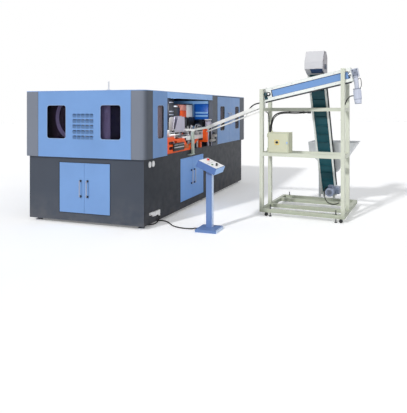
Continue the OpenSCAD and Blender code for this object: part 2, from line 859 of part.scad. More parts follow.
module clamp_frame() color(silver) translate([mid_x, clamp_y, 0]) {
  translate([-platen_out - platen_t, -60, deck_z])
    cube([2 * (platen_out + platen_t), mould_l + 120, bed_t]);
  for (x = [-platen_out - platen_t, platen_out])
    translate([x, 0, deck_z + bed_t]) cube([platen_t, mould_l, tie_z + tie_r + 20 - deck_z - bed_t]);
  for (y = [tie_r + 12, mould_l - tie_r - 12])
    translate([-platen_out, y, tie_z]) rotate([0, 90, 0])
      cylinder(r = tie_r, h = 2 * platen_out);
  for (y = [120, mould_l - 120 - rail_w])
    translate([-platen_out, y, deck_z + bed_t]) cube([2 * platen_out, rail_w, 40]);
  for (x = [-platen_out - platen_t, platen_out], y = [0, mould_l - 70])
    translate([x, y, tie_z + tie_r + 20]) cube([platen_t, 70, 130]);
  difference() {
    translate([-platen_out - platen_t, 0, head_plate_z]) cube([2 * (platen_out + platen_t), mould_l, 40]);
    at_cavities() translate([0, 0, head_plate_z - cut]) cylinder(r = rod_r + 3, h = 40 + 2 * cut);
  }
  for (y = [guide_in, mould_l - guide_in])
    translate([0, y, head_plate_z + 40]) cylinder(r = guide_r, h = rod_travel + crosshead_t + 30);
}

module at_cavities() {
  for (i = [0:cavities - 1]) translate([0, mould_l / 2 + (i - (cavities - 1) / 2) * cavity_pitch, 0]) children();
}

shoe_h = clamp_z - deck_z - bed_t - 40;
mould_gap = 1;
neck_r = 14;
neck_h = 26;
shoulder_h = 54;

// A mould half on its shoes, open by its travel, with half-bottle cavities in its face
module mould_half() {
  x0 = mould_gap / 2 + mould_travel;
  difference() {
    translate([x0, 0, clamp_z - shoe_h + near]) cube([mould_t, mould_l, mould_h + shoe_h]);
    translate([x0, 0, clamp_z]) at_cavities() {
      translate([0, 0, 24]) cylinder(r = cavity_r, h = mould_h - 24 - neck_h - shoulder_h);
      translate([0, 0, mould_h - neck_h - shoulder_h]) cylinder(r1 = cavity_r, r2 = neck_r, h = shoulder_h);
      translate([0, 0, mould_h - neck_h]) cylinder(r = neck_r, h = neck_h + 2 * cut);
    }
  }
  translate([x0 + mould_t, mould_l * 0.3, clamp_z + 40])
    cube([platen_out - x0 - mould_t - near, mould_l * 0.4, 120]);
}

module mould_half_near() color(steel) translate([mid_x, clamp_y, 0]) mould_half();
module mould_half_far() color(steel) translate([mid_x, clamp_y, 0]) mirror([1, 0, 0]) mould_half();

// Stretch rods hang from a crosshead that runs down two guide columns
module stretch_rods() color(steel) translate([mid_x, clamp_y, rod_travel]) {
  difference() {
    translate([-60, 60, head_plate_z + 40 + near]) cube([120, mould_l - 120, crosshead_t]);
    for (y = [guide_in, mould_l - guide_in])
      translate([0, y, head_plate_z]) cylinder(r = guide_r + run, h = 100 + crosshead_t);
  }
  at_cavities() translate([0, 0, clamp_z + 60]) cylinder(r = rod_r, h = head_plate_z - clamp_z);
}

// Orange infeed frame on the deck, in the bay: a slotted plate with a strut and a drive block
frame_x = side_x - 40;
frame_y0 = bay_y0 + 70;
frame_l = 820;
frame_h = 262;
frame_low = 220;
frame_t = 40;
strut_z = 170;
slot_h = 52;
block_step = 1317;
block_y = frame_y0 + block_step;
block_h = 205;

module slot_cut(y, z, l) {
  translate([y, z]) circle(d = slot_h);
  translate([y + l, z]) circle(d = slot_h);
  translate([y, z - slot_h / 2]) square([l, slot_h]);
}

module infeed_frame() color(orange) translate([frame_x, 0, deck_z]) {
  translate([0, frame_y0, 0]) rotate([90, 0, 90]) linear_extrude(frame_t) difference() {
    polygon([[0, 0], [frame_l + 30, 0], [frame_l + 430, strut_z], [frame_l + 300, strut_z],
             [frame_l - 40, 60], [frame_l - 190, frame_low], [320, frame_low], [220, frame_h], [0, frame_h]]);
    slot_cut(90, 166, 230);
    slot_cut(90, 82, 180);
    slot_cut(400, 110, 150);
  }
  translate([-80, frame_y0, 0]) cube([80, frame_l - 100, 16]);
  translate([0, block_y, 0]) cube([frame_t, 60, 140]);
  translate([0, block_y, 110]) cube([170, 60, 30]);
  translate([90, block_y, 140]) cube([80, 60, block_h]);
  translate([130, block_y + 30, 140 + block_h]) cylinder(r = 26, h = 14);
}

// White infeed table on legs, the star wheel's bearing and an air cylinder along the bay
table_y = frame_y0 + 627;
table_l = 800;
table_w = 330;
table_z = deck_z + frame_low;
table_t = 24;
table_leg_r = 18;
cyl_z = deck_z + frame_h + 24;

module infeed_table() color(white) {
  translate([frame_x + frame_t - table_w, table_y, table_z]) round_plate(table_w, table_l, 60, table_t);
  for (y = [table_y + 300, table_y + 700], x = [frame_x - 190, frame_x - 30])
    translate([x, y, deck_z]) cylinder(r = table_leg_r, h = table_z - deck_z);
  translate([star_x, star_y, deck_z]) bearing_post(45, star_z - 30 - deck_z - near);
  translate([frame_x - 36, frame_y0 + 10, cyl_z]) rotate([-90, 0, 0]) {
    cylinder(r = 30, h = 60);
    cylinder(r = 20, h = 400);
    cylinder(r = 9, h = 560);
  }
  for (y = [frame_y0 + 24, frame_y0 + 370])
    translate([frame_x - 52, y, deck_z + 16]) cube([32, 26, cyl_z - deck_z - 20]);
}

// Sheet guard over the transfer: two trapezium plates that meet at a fold, on two legs
guard_sheet = 3;
guard_fold = 25;
guard_x = side_x - 180;
guard_y = frame_y0 + 570;
guard_z = 130;

fold_top = [0, 70, 230];

module infeed_guard() color([0.72, 0.7, 0.72]) translate([guard_x, guard_y, table_z + table_t]) {
  translate([0, 0, guard_z]) {
    rotate([90, 0, 90]) linear_extrude(guard_sheet)
      polygon([[0, 0], [390, 0], [320, fold_top[2]], [fold_top[1], fold_top[2]]]);
    rotate(a = guard_fold, v = fold_top) rotate([90, 0, 90]) linear_extrude(guard_sheet)
      polygon([[0, 0], [fold_top[1], fold_top[2]], [-170, fold_top[2]], [-250, 0]]);
    tube_between([0, 0, 0], fold_top, guard_sheet + 1);
  }
  for (y = [90, 240]) translate([-20, y, 0]) cube([20, 24, guard_z + 120]);
}

// Electrical panel behind the front doors
rack_w = 860;
rack_h = 780;
rack_low = 60;
rack_post = 40;

module electrical_panel() color([0.8, 0.8, 0.78]) translate([mid_x, front_y + 330, foot_h + sheet_t]) {
  translate([-rack_w / 2, 0, rack_low]) cube([rack_w, sheet_t, rack_h]);
  for (x = [-rack_w / 2, rack_w / 2 - rack_post])
    translate([x, sheet_t, 0]) cube([rack_post, 60, rack_low + rack_h]);
  for (x = [-380, -200, -20, 160]) translate([x, -150, 560]) cube([140, 150, 220]);
  for (z = [180, 330], x = [-380:95:290]) translate([x, -80, z]) cube([75, 80, 90]);
  translate([-390, -60, 460]) cube([780, 60, 50]);
  translate([-390, -50, 110]) cube([780, 50, 40]);
}

// Air receiver with its valve block behind the side doors
tank_r = 170;
tank_l = 900;

module air_tank() color([0.3, 0.42, 0.62])
  translate([side_x - 560, front_y + side_door_y + 40, foot_h + sheet_t]) {
    translate([0, 0, tank_r + 90]) rotate([-90, 0, 0]) {
      cylinder(r = tank_r, h = tank_l);
      translate([0, 0, -40]) cylinder(r1 = tank_r * 0.6, r2 = tank_r, h = 40);
      translate([0, 0, tank_l]) cylinder(r1 = tank_r, r2 = tank_r * 0.6, h = 40);
    }
    for (y = [120, tank_l - 180]) translate([-tank_r * 0.8, y, 0]) cube([tank_r * 1.6, 60, 130]);
    translate([-60, 200, tank_r * 2 + 80]) cube([120, 500, 90]);
    for (i = [0:5]) translate([-40, 220 + i * 80, tank_r * 2 + 170]) cube([80, 50, 90]);
  }

// Operator console
con_x = side_x + console_x;
con_y = front_y + console_y;
col_x = con_x + 108;
col_y = con_y + 153;
head_x = con_x + 33;
head_y = con_y + 40;
panel_t = 3;
panel_in = 11;

module at_head() {
  translate([head_x, head_y, head_top]) rotate([0, head_tilt, 0]) children();
}

module console_stand() color(blue) {
  translate([con_x, con_y, 0]) {
    cube([console_foot_w, console_foot_l, console_foot_h - 8]);
    translate([8, 8, console_foot_h - 8]) cube([console_foot_w - 16, console_foot_l - 16, 8]);
  }
  difference() {
    translate([col_x, col_y, console_foot_h]) cube([column_w, column_d, head_top - console_foot_h]);
    at_head() translate([-head_l, -head_w, -head_t]) cube([3 * head_l, 3 * head_w, 3 * head_t]);
  }
  translate([con_x - 16, con_y + 128, 22]) rotate([0, 90, 0]) cylinder(r = gland_r, h = 16);
}

estop_at = [62, 232];
start_at = [196, 92];
stop_at = [242, 150];
selector_at = [214, 222];
stem_l = 18;

module stem_bores(extra) {
  for (p = [estop_at, start_at, stop_at, selector_at])
    translate([p[0], p[1], -extra]) cylinder(r = stem_r + run, h = extra + panel_t + cut);
}

module console_head() color(blue) at_head() difference() {
  translate([0, 0, -head_t]) cube([head_l, head_w, head_t - panel_t]);
  translate([0, 0, -panel_t]) stem_bores(stem_l + press + 1);
}

module console_panel() color(white) at_head() difference() {
  translate([panel_in, panel_in, -panel_t]) cube([head_l - 2 * panel_in, head_w - 2 * panel_in, panel_t]);
  translate([0, 0, -panel_t]) stem_bores(cut);
  translate([head_l * 0.46, panel_in - cut, -1]) cube([2, head_w, 1 + cut]);
}

module button(at, cap_r, cap_h) {
  at_head() translate([at[0], at[1], 0]) {
    translate([0, 0, -panel_t - stem_l]) cylinder(r = stem_r, h = stem_l + panel_t + press + 1);
    translate([0, 0, press + 1]) cylinder(r = cap_r, h = cap_h);
  }
}

module emergency_stop() color(red) {
  button(estop_at, 22, 12);
  at_head() translate([estop_at[0], estop_at[1], press + 13]) cylinder(r1 = 22, r2 = 15, h = 6);
}

module start_button() color([0.1, 0.35, 0.2]) button(start_at, 15, 7);
module stop_button() color(dark) button(stop_at, 15, 7);

module mode_selector() color(dark) {
  at_head() translate([selector_at[0], selector_at[1], 0]) {
    translate([0, 0, -panel_t - stem_l]) cylinder(r = stem_r, h = stem_l + panel_t + near);
    translate([0, 0, near]) cylinder(r = 16, h = 9);
    translate([-16, -4, 9]) cube([32, 8, 9]);
  }
}

// Console cable: leaves the gland on the base, makes one loose loop and goes to the console's foot
cable_r = 9;
cable_start = [side_x + gland_out, gland_y - 14, gland_z - 46];
cable_end = [con_x - 16, con_y + 128, 22];
cable_floor = cable_r + 0.5;
cable_straight = 10;
cable_route = [
  cable_start - [0, 0, cable_straight], [124, 309, 100], [116, 300, 60], [98, 276, 26], [72, 240, cable_floor],
  [45, 200, cable_floor], [8, 168, cable_floor], [-42, 166, cable_floor], [-78, 200, cable_floor],
  [-86, 260, cable_floor], [-76, 330, cable_floor], [-44, 400, cable_floor], [20, 448, cable_floor],
  [100, 462, cable_floor], [190, 432, cable_floor], [280, 350, cable_floor], [360, 268, cable_floor],
  [440, 208, cable_floor], [540, 170, cable_floor], [650, 154, cable_floor], [740, 160, 12],
  [785, 166, 20], cable_end - [cable_straight, 0, 0]
];

function mix(p, q, r, s, t) =
  0.5 * (2 * q + (r - p) * t + (2 * p - 5 * q + 4 * r - s) * t * t + (3 * q - p - 3 * r + s) * t * t * t);

function spline(pts, n) = [
  for (i = [0:len(pts) - 2], k = [0:n - 1])
    mix(pts[max(i - 1, 0)], pts[i], pts[i + 1], pts[min(i + 2, len(pts) - 1)], k / n),
  pts[len(pts) - 1]
];

function unit(v) = v / norm(v);

// Frame across the path at point i: a level side and the direction up from it
function side_of(d) = unit(abs(d[2]) > 0.9 ? cross(d, [1, 0, 0]) : cross(d, [0, 0, 1]));

function ring(p, a, b, r, n) = [for (k = [0:n - 1]) p + r * (cos(k * 360 / n) * a + sin(k * 360 / n) * b)];

function carried(a, d) = unit(a - (a * d) * d);

function frames(dirs, i, a) = i >= len(dirs) ? [] :
  let (na = carried(a, dirs[i])) concat([na], frames(dirs, i + 1, na));

module tube_along(path, r, n) {
  last = len(path) - 1;
  dirs = [for (i = [0:last]) unit(path[min(i + 1, last)] - path[max(i - 1, 0)])];
  sides = frames(dirs, 0, side_of(dirs[0]));
  points = [for (i = [0:last]) each ring(path[i], sides[i], cross(dirs[i], sides[i]), r, n)];
  faces = concat(
    [[for (k = [0:n - 1]) n - 1 - k]],
    [for (i = [0:last - 1], k = [0:n - 1])
      [i * n + k, i * n + (k + 1) % n, (i + 1) * n + (k + 1) % n, (i + 1) * n + k]],
    [[for (k = [0:n - 1]) last * n + k]]
  );
  polyhedron(points, faces, convexity = 6);
}

module console_cable() color(dark)
  tube_along(concat([cable_start], spline(cable_route, 2), [cable_end]), cable_r, 8);

// Loader: every piece is placed from the centre of its front left post on the floor
load_x = side_x + loader_x;
load_y = front_y + loader_y;
half = loader_tube / 2;
base_top = rail_z + loader_tube;
third_rail_y = loader_base_l - 285;

module at_loader() {
  translate([load_x, load_y, 0]) rotate([0, 0, loader_yaw]) children();
}

module post_at(x, y, z0, z1) {
  translate([x - half, y - half, z0]) cube([loader_tube, loader_tube, z1 - z0]);
}

module rail_x(y, z_top) {
  translate([half, y - half, z_top - loader_tube]) cube([loader_w - loader_tube, loader_tube, loader_tube]);
}

module rail_y(x, y0, y1, z_top) {
  translate([x - half, y0, z_top - loader_tube]) cube([loader_tube, y1 - y0, loader_tube]);
}

module loader_frame() color(cream) at_loader() {
  for (x = [0, loader_w], y = [0, loader_d])
    post_at(x, y, y == 0 ? rail_z : base_top, x == 0 ? left_post_h : right_post_h);
  for (x = [0, loader_w]) {
    rail_y(x, half, loader_base_l + half, base_top);
    for (z = [mid_rail_z, upper_rail_z]) rail_y(x, half, loader_d - half, z);
  }
  for (y = [0, loader_d, third_rail_y, loader_base_l]) rail_x(y, base_top);
  for (y = [0, loader_d]) rail_x(y, mid_rail_z);
  rail_x(loader_d, upper_rail_z);
}

// Casters and levelling screws of the loader, as fixed pieces beside each corner
caster_r = 28;
caster_at = [[80, 0], [loader_w - 30, 0], [30, loader_base_l - 20], [loader_w - 30, loader_base_l - 20]];
jack_at = [[150, 0], [loader_w - 110, 0], [110, loader_base_l - 20], [loader_w - 110, loader_base_l - 20]];

fork_in = 15;

module caster() {
  translate([0, 0, caster_r]) rotate([90, 0, 0]) cylinder(r = caster_r, h = 2 * (fork_in - near), center = true);
  translate([-24, -24, rail_z - 6]) cube([48, 48, 6]);
  for (y = [-fork_in - 3, fork_in]) translate([-14, y, caster_r - 8]) cube([28, 3, rail_z - caster_r + 4]);
}

module loader_feet() color(dark) at_loader() {
  for (p = caster_at) translate([p[0], p[1], 0]) caster();
  for (p = jack_at) translate([p[0], p[1], 0]) {
    cylinder(r = 24, h = 8);
    cylinder(r = 8, h = rail_z);
    translate([0, 0, base_top]) cylinder(r = 8, h = 66);
    translate([0, 0, base_top]) cylinder(r = 14, h = 12, $fn = 6);
  }
}

// Elevator: local frame with Z up its slope, X across, Y square to the belt
tail_y = loader_base_l + 5;
tail_z = 300;
channel_x = belt_w / 2 + 5;
channel_end = 92;
channel_sheet = 5;
elevator_half = channel_x + channel_w;
foot_plate = 6;

module at_elevator() {
  at_loader() translate([elevator_x, tail_y, tail_z]) rotate([elevator_lean, 0, 0]) children();
}

// A side channel with its web outside and its flanges towards the belt
module channel(length) {
  difference() {
    cube([channel_w, channel_d, length]);
    translate([channel_sheet, channel_sheet, -cut])
      cube([channel_w - channel_sheet + cut, channel_d - 2 * channel_sheet, length + 2 * cut]);
    for (z = [channel_end, channel_end + elevator_l])
      translate([-cut, channel_d / 2, z]) rotate([0, 90, 0]) cylinder(r = axle_r + run, h = channel_w + 2 * cut);
  }
}

axle_r = 15;
tie_first = 260;
tie_last = 318;
channel_l = elevator_l + channel_end + 62;

module elevator_frame() color(cream) {
  at_elevator() {
    translate([-elevator_half, -channel_d / 2, -channel_end]) channel(channel_l);
    mirror([1, 0, 0]) translate([-elevator_half, -channel_d / 2, -channel_end]) channel(channel_l);
    for (k = [0:3]) translate([-channel_x - 1, -14, tie_first + k * (elevator_l - tie_first - tie_last) / 3])
      cube([2 * channel_x + 2, 28, 40]);
    translate([-elevator_half, -channel_d / 2, -channel_end - foot_plate])
      cube([2 * elevator_half, channel_d, foot_plate]);
  }
  difference() {
    at_loader() {
      for (x = [-110, 74]) translate([elevator_x + x, loader_base_l - half, base_top]) cube([36, loader_tube, 200]);
      for (x = [-elevator_half, elevator_half - channel_w])
        translate([elevator_x + x, loader_d + half, upper_rail_z - 55]) cube([channel_w, 120, 50]);
    }
    at_elevator() translate([-elevator_half - cut, -channel_d / 2, -channel_end - foot_plate])
      cube([2 * (elevator_half + cut), 4 * channel_d, channel_l]);
  }
}

belt_in = pulley_r + near;
belt_out = belt_in + belt_t;
cleat_h = 18;

module belt_loop(r) {
  circle(r);
  translate([0, elevator_l]) circle(r);
  translate([-r, 0]) square([2 * r, elevator_l]);
}

// The belt runs with its cleats clear of the channels' flanges
module elevator_belt() color(teal) at_elevator() rotate([90, 0, 90]) translate([0, 0, -belt_w / 2]) {
  linear_extrude(belt_w) difference() {
    belt_loop(belt_out);
    belt_loop(belt_in);
  }
  for (i = [0:floor((elevator_l - 120) / cleat_pitch)], side = [-1, 1])
    translate([side > 0 ? belt_out - 1 : -belt_out - cleat_h, 60 + i * cleat_pitch, 12])
      cube([cleat_h + 1, 5, belt_w - 24]);
}

module pulley() {
  translate([-belt_w / 2, 0, 0]) rotate([0, 90, 0]) cylinder(r = pulley_r, h = belt_w);
  translate([-elevator_half + 1, 0, 0]) rotate([0, 90, 0]) cylinder(r = axle_r, h = 2 * (elevator_half - 1));
}

module tail_pulley() color(steel) at_elevator() pulley();
module head_pulley() color(steel) at_elevator() translate([0, 0, elevator_l]) pulley();

// Hood over the head of the elevator, open at the front where preforms drop into the trough
hood_w = 2 * elevator_half + 8;
hood_t = 3;
head_axis_y = tail_y - elevator_l * sin(elevator_lean);
head_axis_z = tail_z + elevator_l * cos(elevator_lean);
hood_z = head_axis_z - 39;
hood_top = head_axis_z + 253;
hood_front = head_axis_y - 185;
hood_back = head_axis_y + 165;
hood_low = hood_z - 86;
mouth_z = 14;
mouth_h = 78;

module hood_profile(o) {
  low = hood_low - (o > 0 ? cut : 0);
  polygon([[hood_front + o, hood_z + o], [trough_y + trough_w + 4 + 2 * o, low], [hood_back - o, low],
           [hood_back - o, hood_top - 80],
           [hood_back - 80, hood_top - o], [hood_front + 110, hood_top - o], [hood_front + o, hood_z + 110]]);
}

module elevator_hood() color([0.8, 0.8, 0.83]) at_loader()
  translate([elevator_x - hood_w / 2, 0, 0]) difference() {
    rotate([90, 0, 90]) linear_extrude(hood_w) hood_profile(0);
    translate([hood_t, 0, 0]) rotate([90, 0, 90]) linear_extrude(hood_w - 2 * hood_t) hood_profile(hood_t);
    translate([hood_t + 26, hood_front - cut, hood_z + mouth_z]) cube([hood_w - 2 * hood_t - 52, 20, mouth_h]);
  }

// Geared motors of the elevator and of the trough's rollers
module motor(l, r) {
  cylinder(r = r, h = l);
  for (i = [0:11]) rotate(i * 30) translate([r - 2, -2, l * 0.12]) cube([8, 4, l * 0.66]);
  translate([0, 0, l]) cylinder(r = r * 0.92, h = 26);
}

gearbox_r = 62;
case_w = 74;
motor_x = 86;
motor_y = 162;
reducer_l = 190;
motor_lean = 5;

// The elevator's motor points forward beside the belt's foot, with a chain case on the channel
module drive_motors() color(silver) {
  at_loader() translate([elevator_x, tail_y, tail_z]) {
    translate([elevator_half, 0, 0]) rotate([90, 0, 90]) linear_extrude(case_w) {
      for (y = [-motor_y, 0]) translate([y, 0]) circle(gearbox_r);
      translate([-motor_y, -gearbox_r]) square([motor_y, 2 * gearbox_r]);
    }
    translate([motor_x - 55, -motor_y - 50, -gearbox_r])
      cube([elevator_half - motor_x + 60, 95, 2 * gearbox_r + 10]);
    translate([motor_x, -motor_y - 50, 0]) rotate([90, 0, 0]) motor(150, 75);
    translate([motor_x - 40, -motor_y - 150, 60]) cube([80, 90, 48]);
  }
  at_trough() translate([trough_l + end_plate, trough_mid, roller_z - 60]) {
    translate([0, -45, 0]) cube([100, 90, 130]);
    translate([44, 0, 2]) rotate([0, trough_tilt - motor_lean, 0]) mirror([0, 0, 1]) {
      cylinder(r = 34, h = reducer_l + 10);
      translate([0, 0, reducer_l]) motor(205, 56);
    }
  }
}

// Hopper behind the elevator: four sloping sides round an open bottom, on two brackets
hopper_mid = 380;
hopper_x0 = elevator_x + 60 - hopper_mid;
hopper_y0 = 940;
hopper_mouth = 90;
hopper_leg = 40;

module hopper_solid(o) {
  over = o > 0 ? cut : 0;
  mouth_y = hopper_d * 0.63 - hopper_mouth;
  part = hopper_side / hopper_h;
  hull() {
    translate([hopper_mid - hopper_mouth + o, mouth_y + o, -over])
      cube([2 * (hopper_mouth - o), 2 * (hopper_mouth - o), 1]);
    translate([o, part * mouth_y + o, hopper_h - hopper_side])
      cube([1, hopper_d - part * (hopper_d - 2 * hopper_mouth) - 2 * o, 1]);
    translate([o, o, hopper_h - 1 + over]) cube([hopper_w - 2 * o, hopper_d - 2 * o, 1]);
  }
}

module hopper() color(steel) at_loader() translate([hopper_x0, hopper_y0, hopper_z - hopper_h]) difference() {
  union() {
    hopper_solid(0);
    for (x = [-250, 250 - hopper_leg])
      translate([hopper_mid + x, loader_base_l - hopper_leg / 2 - hopper_y0, base_top - hopper_z + hopper_h])
        cube([hopper_leg, hopper_leg, hopper_z - base_top - 250]);
  }
  hopper_solid(hopper_t);
}

// Trough: two sloping sides with edge rails and an end plate each way, in the frame of the slope
trough_z = 1990;
trough_y = half;
end_plate = 12;
trough_mid = trough_w / 2;
roller_z = 120;
roller_ys = [trough_mid - roller_r - 10, trough_mid + roller_r + 10];
roller_shaft_r = 10;

module at_trough() {
  at_loader() translate([0, trough_y, trough_z]) rotate([0, -trough_tilt, 0])
    translate([0, 0, -trough_h / 2]) children();
}

module end_wall(x) {
  translate([x, 0, 0]) difference() {
    cube([end_plate, trough_w, trough_h]);
    for (y = roller_ys) translate([-cut, y, roller_z]) rotate([0, 90, 0])
      cylinder(r = roller_shaft_r + run, h = end_plate + 2 * cut);
  }
}

hanger_x = -18;
hanger_t = 10;
hanger_low = 1792;

module trough() color(cream) {
  at_trough() {
    for (y = [0, trough_w - trough_side]) difference() {
      for (z = [0, trough_h - trough_rail]) translate([0, y, z]) cube([trough_l, trough_side, trough_rail]);
      translate([paddle_x, y - cut, paddle_z]) rotate([-90, 0, 0])
        cylinder(r = roller_shaft_r + run, h = trough_side + 2 * cut);
    }
    end_wall(0);
    end_wall(trough_l);
  }
  difference() {
    at_loader() translate([hanger_x, trough_y + 20, hanger_low]) cube([hanger_t, trough_w - 40, 160]);
    at_trough() cube([trough_l, trough_w, trough_h]);
  }
  at_trough() translate([-30, 30, 10]) cube([30, trough_w - 60, 20]);
}

panel_out = 6;

module trough_panels() color(blue) at_trough()
  for (y = [panel_out, trough_w - panel_out - 12])
    translate([165, y, trough_rail]) cube([trough_l - 205, 12, trough_h - 2 * trough_rail]);

module roller(y) {
  at_trough() translate([0, y, roller_z]) {
    translate([end_plate + 1, 0, 0]) rotate([0, 90, 0]) cylinder(r = roller_r, h = trough_l - end_plate - 2);
    translate([1, 0, 0]) rotate([0, 90, 0]) cylinder(r = roller_shaft_r, h = trough_l + end_plate - 2);
  }
}

module roller_left() color(steel) roller(roller_ys[0]);
module roller_right() color(steel) roller(roller_ys[1]);

// Paddle wheel that knocks back lying preforms, above the rollers at the low end
paddle_z = trough_h - trough_rail / 2;
paddle_x = 66;
paddle_l = 60;
paddle_r = 40;

module paddle_wheel() color(dark) at_trough() translate([paddle_x, trough_mid, paddle_z]) {
  rotate([90, 0, 0]) translate([0, 0, -paddle_l / 2]) cylinder(r = 18, h = paddle_l);
  rotate([90, 0, 0]) translate([0, 0, -trough_w / 2 + 1]) cylinder(r = roller_shaft_r, h = trough_w - 2);
  for (i = [0:3]) rotate([0, i * 90, 0]) translate([14, -paddle_l / 2, -3]) cube([paddle_r - 14, paddle_l, 6]);
}

// Chute from the trough down into the bay, then along it to the star wheel: flat bars on edge
chute_bar = 12;
chute_bar_h = 58;
chute_low_h = 34;
chute_gap = 62;
chute_top = [load_x + hanger_x - 12, load_y + trough_y + trough_mid + 4, 1822];
chute_low = [side_x + 150, front_y + 2000, 1424];
chute_bend = [side_x + 40, front_y + 1640, 1392];
chute_end = [star_x + star_r + 30, star_y + 60, star_z + 34];
chute_path = [chute_top, chute_low, chute_bend, chute_end];
chute_hs = [chute_bar_h, chute_low_h, chute_low_h];
guard_bar_z = 80;
leg_y = front_y + 1640;
leg_low = 950;

module tube_between(a, b, r) {
  d = b - a;
  translate(a) rotate([0, acos(d[2] / norm(d)), atan2(d[1], d[0])]) cylinder(r = r, h = norm(d));
}

module bar_between(a, b, h) {
  d = b - a;
  translate(a) rotate([0, acos(d[2] / norm(d)), atan2(d[1], d[0])])
    translate([-h / 2, -chute_bar / 2, 0]) cube([h, chute_bar, norm(d)]);
}

// Level direction to the left of leg i of the chute, and the mitred step to its bars at point i
function left_of(i) = let (d = chute_path[i + 1] - chute_path[i]) unit([-d[1], d[0], 0]);
function mitre(i) = let (a = left_of(max(i - 1, 0)), b = left_of(min(i, 2))) (a + b) / (1 + a * b) * chute_gap / 2;

module chute_rails() color(steel) {
  for (side = [-1, 1]) {
    for (i = [0:2])
      bar_between(chute_path[i] + side * mitre(i), chute_path[i + 1] + side * mitre(i + 1), chute_hs[i]);
    for (i = [1, 2]) translate(chute_path[i] + side * mitre(i))
      cylinder(r = chute_bar / 2 + 1, h = chute_hs[i - 1] + 3, center = true);
  }
  for (t = [0.02:0.24:0.98]) {
    p = chute_top + t * (chute_low - chute_top) - [0, 0, chute_bar_h / 2 - 2];
    tube_between(p - 1.2 * mitre(0), p + 1.2 * mitre(0), 8);
    tube_between(p, p - [0, 0, guard_bar_z - chute_bar_h / 2], 6);
  }
  bar_between(chute_top - [0, 0, guard_bar_z], chute_low - [0, 0, guard_bar_z], 22);
  translate([side_x, leg_y - 40, leg_low]) {
    translate([0, -130, 0]) cube([52, 200, 14]);
    translate([12, 0, 0]) cube([40, 50, chute_bend[2] - leg_low - chute_low_h / 2 + 4]);
  }
}

// Control box on the middle rail, its door hung on two pin hinges
ctrl_x = 118;
ctrl_y = -half + 10;
knuckle_r = 7;
knuckle_l = 30;
knuckle_pin = 3.5;
knuckle_zs = [50, box_h - 50];
knuckle_y = -box_door_t / 2;
box_sheet = 3;

module at_box() {
  at_loader() translate([ctrl_x, ctrl_y, mid_rail_z]) children();
}

module control_box() color(cream) at_box() {
  difference() {
    cube([box_w, box_d, box_h]);
    translate([box_sheet, -cut, box_sheet]) cube([box_w - 2 * box_sheet, box_d - box_sheet + cut, box_h - 2 * box_sheet]);
  }
  for (z = knuckle_zs) {
    translate([-knuckle_r, knuckle_y, z - knuckle_l]) cylinder(r = knuckle_r, h = knuckle_l);
    translate([-knuckle_r, knuckle_y, z]) cylinder(r = knuckle_pin, h = knuckle_l - 2);
    translate([-knuckle_r, knuckle_y, z - knuckle_l]) cube([knuckle_r, -knuckle_y + 8, knuckle_l]);
  }
  translate([60, 30, box_h]) cylinder(r = 16, h = 24);
}

switch_at = [box_w * 0.45, box_h * 0.52];
switch_r = 9;

module control_box_door() color(cream) at_box() {
  difference() {
    translate([1, -box_door_t - near, 1]) cube([box_w - 2, box_door_t, box_h - 2]);
    translate([box_sheet, -box_door_t + 2, box_sheet]) cube([box_w - 2 * box_sheet, box_door_t, box_h - 2 * box_sheet]);
    for (z = knuckle_zs) translate([-knuckle_r, knuckle_y, z - knuckle_l - near]) cylinder(r = knuckle_r + 4, h = 2 * knuckle_l + 2 * near);
    translate([switch_at[0], 1, switch_at[1]]) rotate([90, 0, 0]) cylinder(r = switch_r + run, h = box_door_t + 2);
  }
  for (z = knuckle_zs) difference() {
    union() {
      translate([-knuckle_r, knuckle_y, z + near]) cylinder(r = knuckle_r, h = knuckle_l - near);
      translate([-knuckle_r, knuckle_y, z + near]) cube([knuckle_r + 6, -knuckle_y - 1, knuckle_l - near]);
    }
    translate([-knuckle_r, knuckle_y, z - cut]) cylinder(r = knuckle_pin + run, h = knuckle_l + 2 * cut);
  }
  translate([switch_at[0] - 40, -box_door_t - near - 2, switch_at[1] - 40]) difference() {
    cube([80, 2, 80]);
    translate([40, 3, 40]) rotate([90, 0, 0]) cylinder(r = switch_r + run, h = 4);
  }
  translate([box_w - 26, -box_door_t - near, box_h * 0.52]) rotate([90, 0, 0]) cylinder(r = 11, h = 6);
}

module main_switch() color(dark) at_box()
  translate([switch_at[0], -box_door_t - 2 * near - 2, switch_at[1]]) rotate([90, 0, 0]) {
    cylinder(r = 20, h = 10);
    translate([-18, -5, 10]) cube([36, 10, 12]);
    translate([0, 0, -box_door_t]) cylinder(r = switch_r, h = box_door_t);
  }

// Cables that the loader holds along its tubes
loader_cable_r = 9;
box_cable = [
  [145, 10, mid_rail_z + box_h + 24], [145, 10, 1440], [120, 120, 1500], [80, 260, 1560], [50, 350, 1620],
  [52, 374, 1690], [80, 376, 1716], [200, 376, 1719], [400, 376, 1719], [600, 376, 1719], [700, 376, 1719]
];

module loader_cables() color(dark) at_loader() tube_along(spline(box_cable, 2), loader_cable_r, 8);

base_cabinet();
levelling_feet();
housing_frame();
closing_panels();
corner_covers();
front_panel();
side_panel();
bay_header();
bay_pillar();
window_panes();
signal_rod();
cable_ports();
front_door_left();
front_door_right();
side_door_left();
side_door_right();
guard_door_left();
guard_door_right();
guard_window_left();
guard_window_right();
oven_tunnel();
preform_chain();
chain_sprocket();
star_wheel();
clamp_frame();
mould_half_near();
mould_half_far();
stretch_rods();
infeed_frame();
infeed_table();
infeed_guard();
electrical_panel();
air_tank();
console_stand();
console_head();
console_panel();
emergency_stop();
start_button();
stop_button();
mode_selector();
console_cable();
loader_frame();
loader_feet();
elevator_frame();
elevator_belt();
head_pulley();
tail_pulley();
elevator_hood();
drive_motors();
hopper();
trough();
trough_panels();
roller_left();
roller_right();
paddle_wheel();
chute_rails();
control_box();
control_box_door();
main_switch();
loader_cables();
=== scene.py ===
"""Looks of the blow moulding machine: camera, light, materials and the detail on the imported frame."""
import math

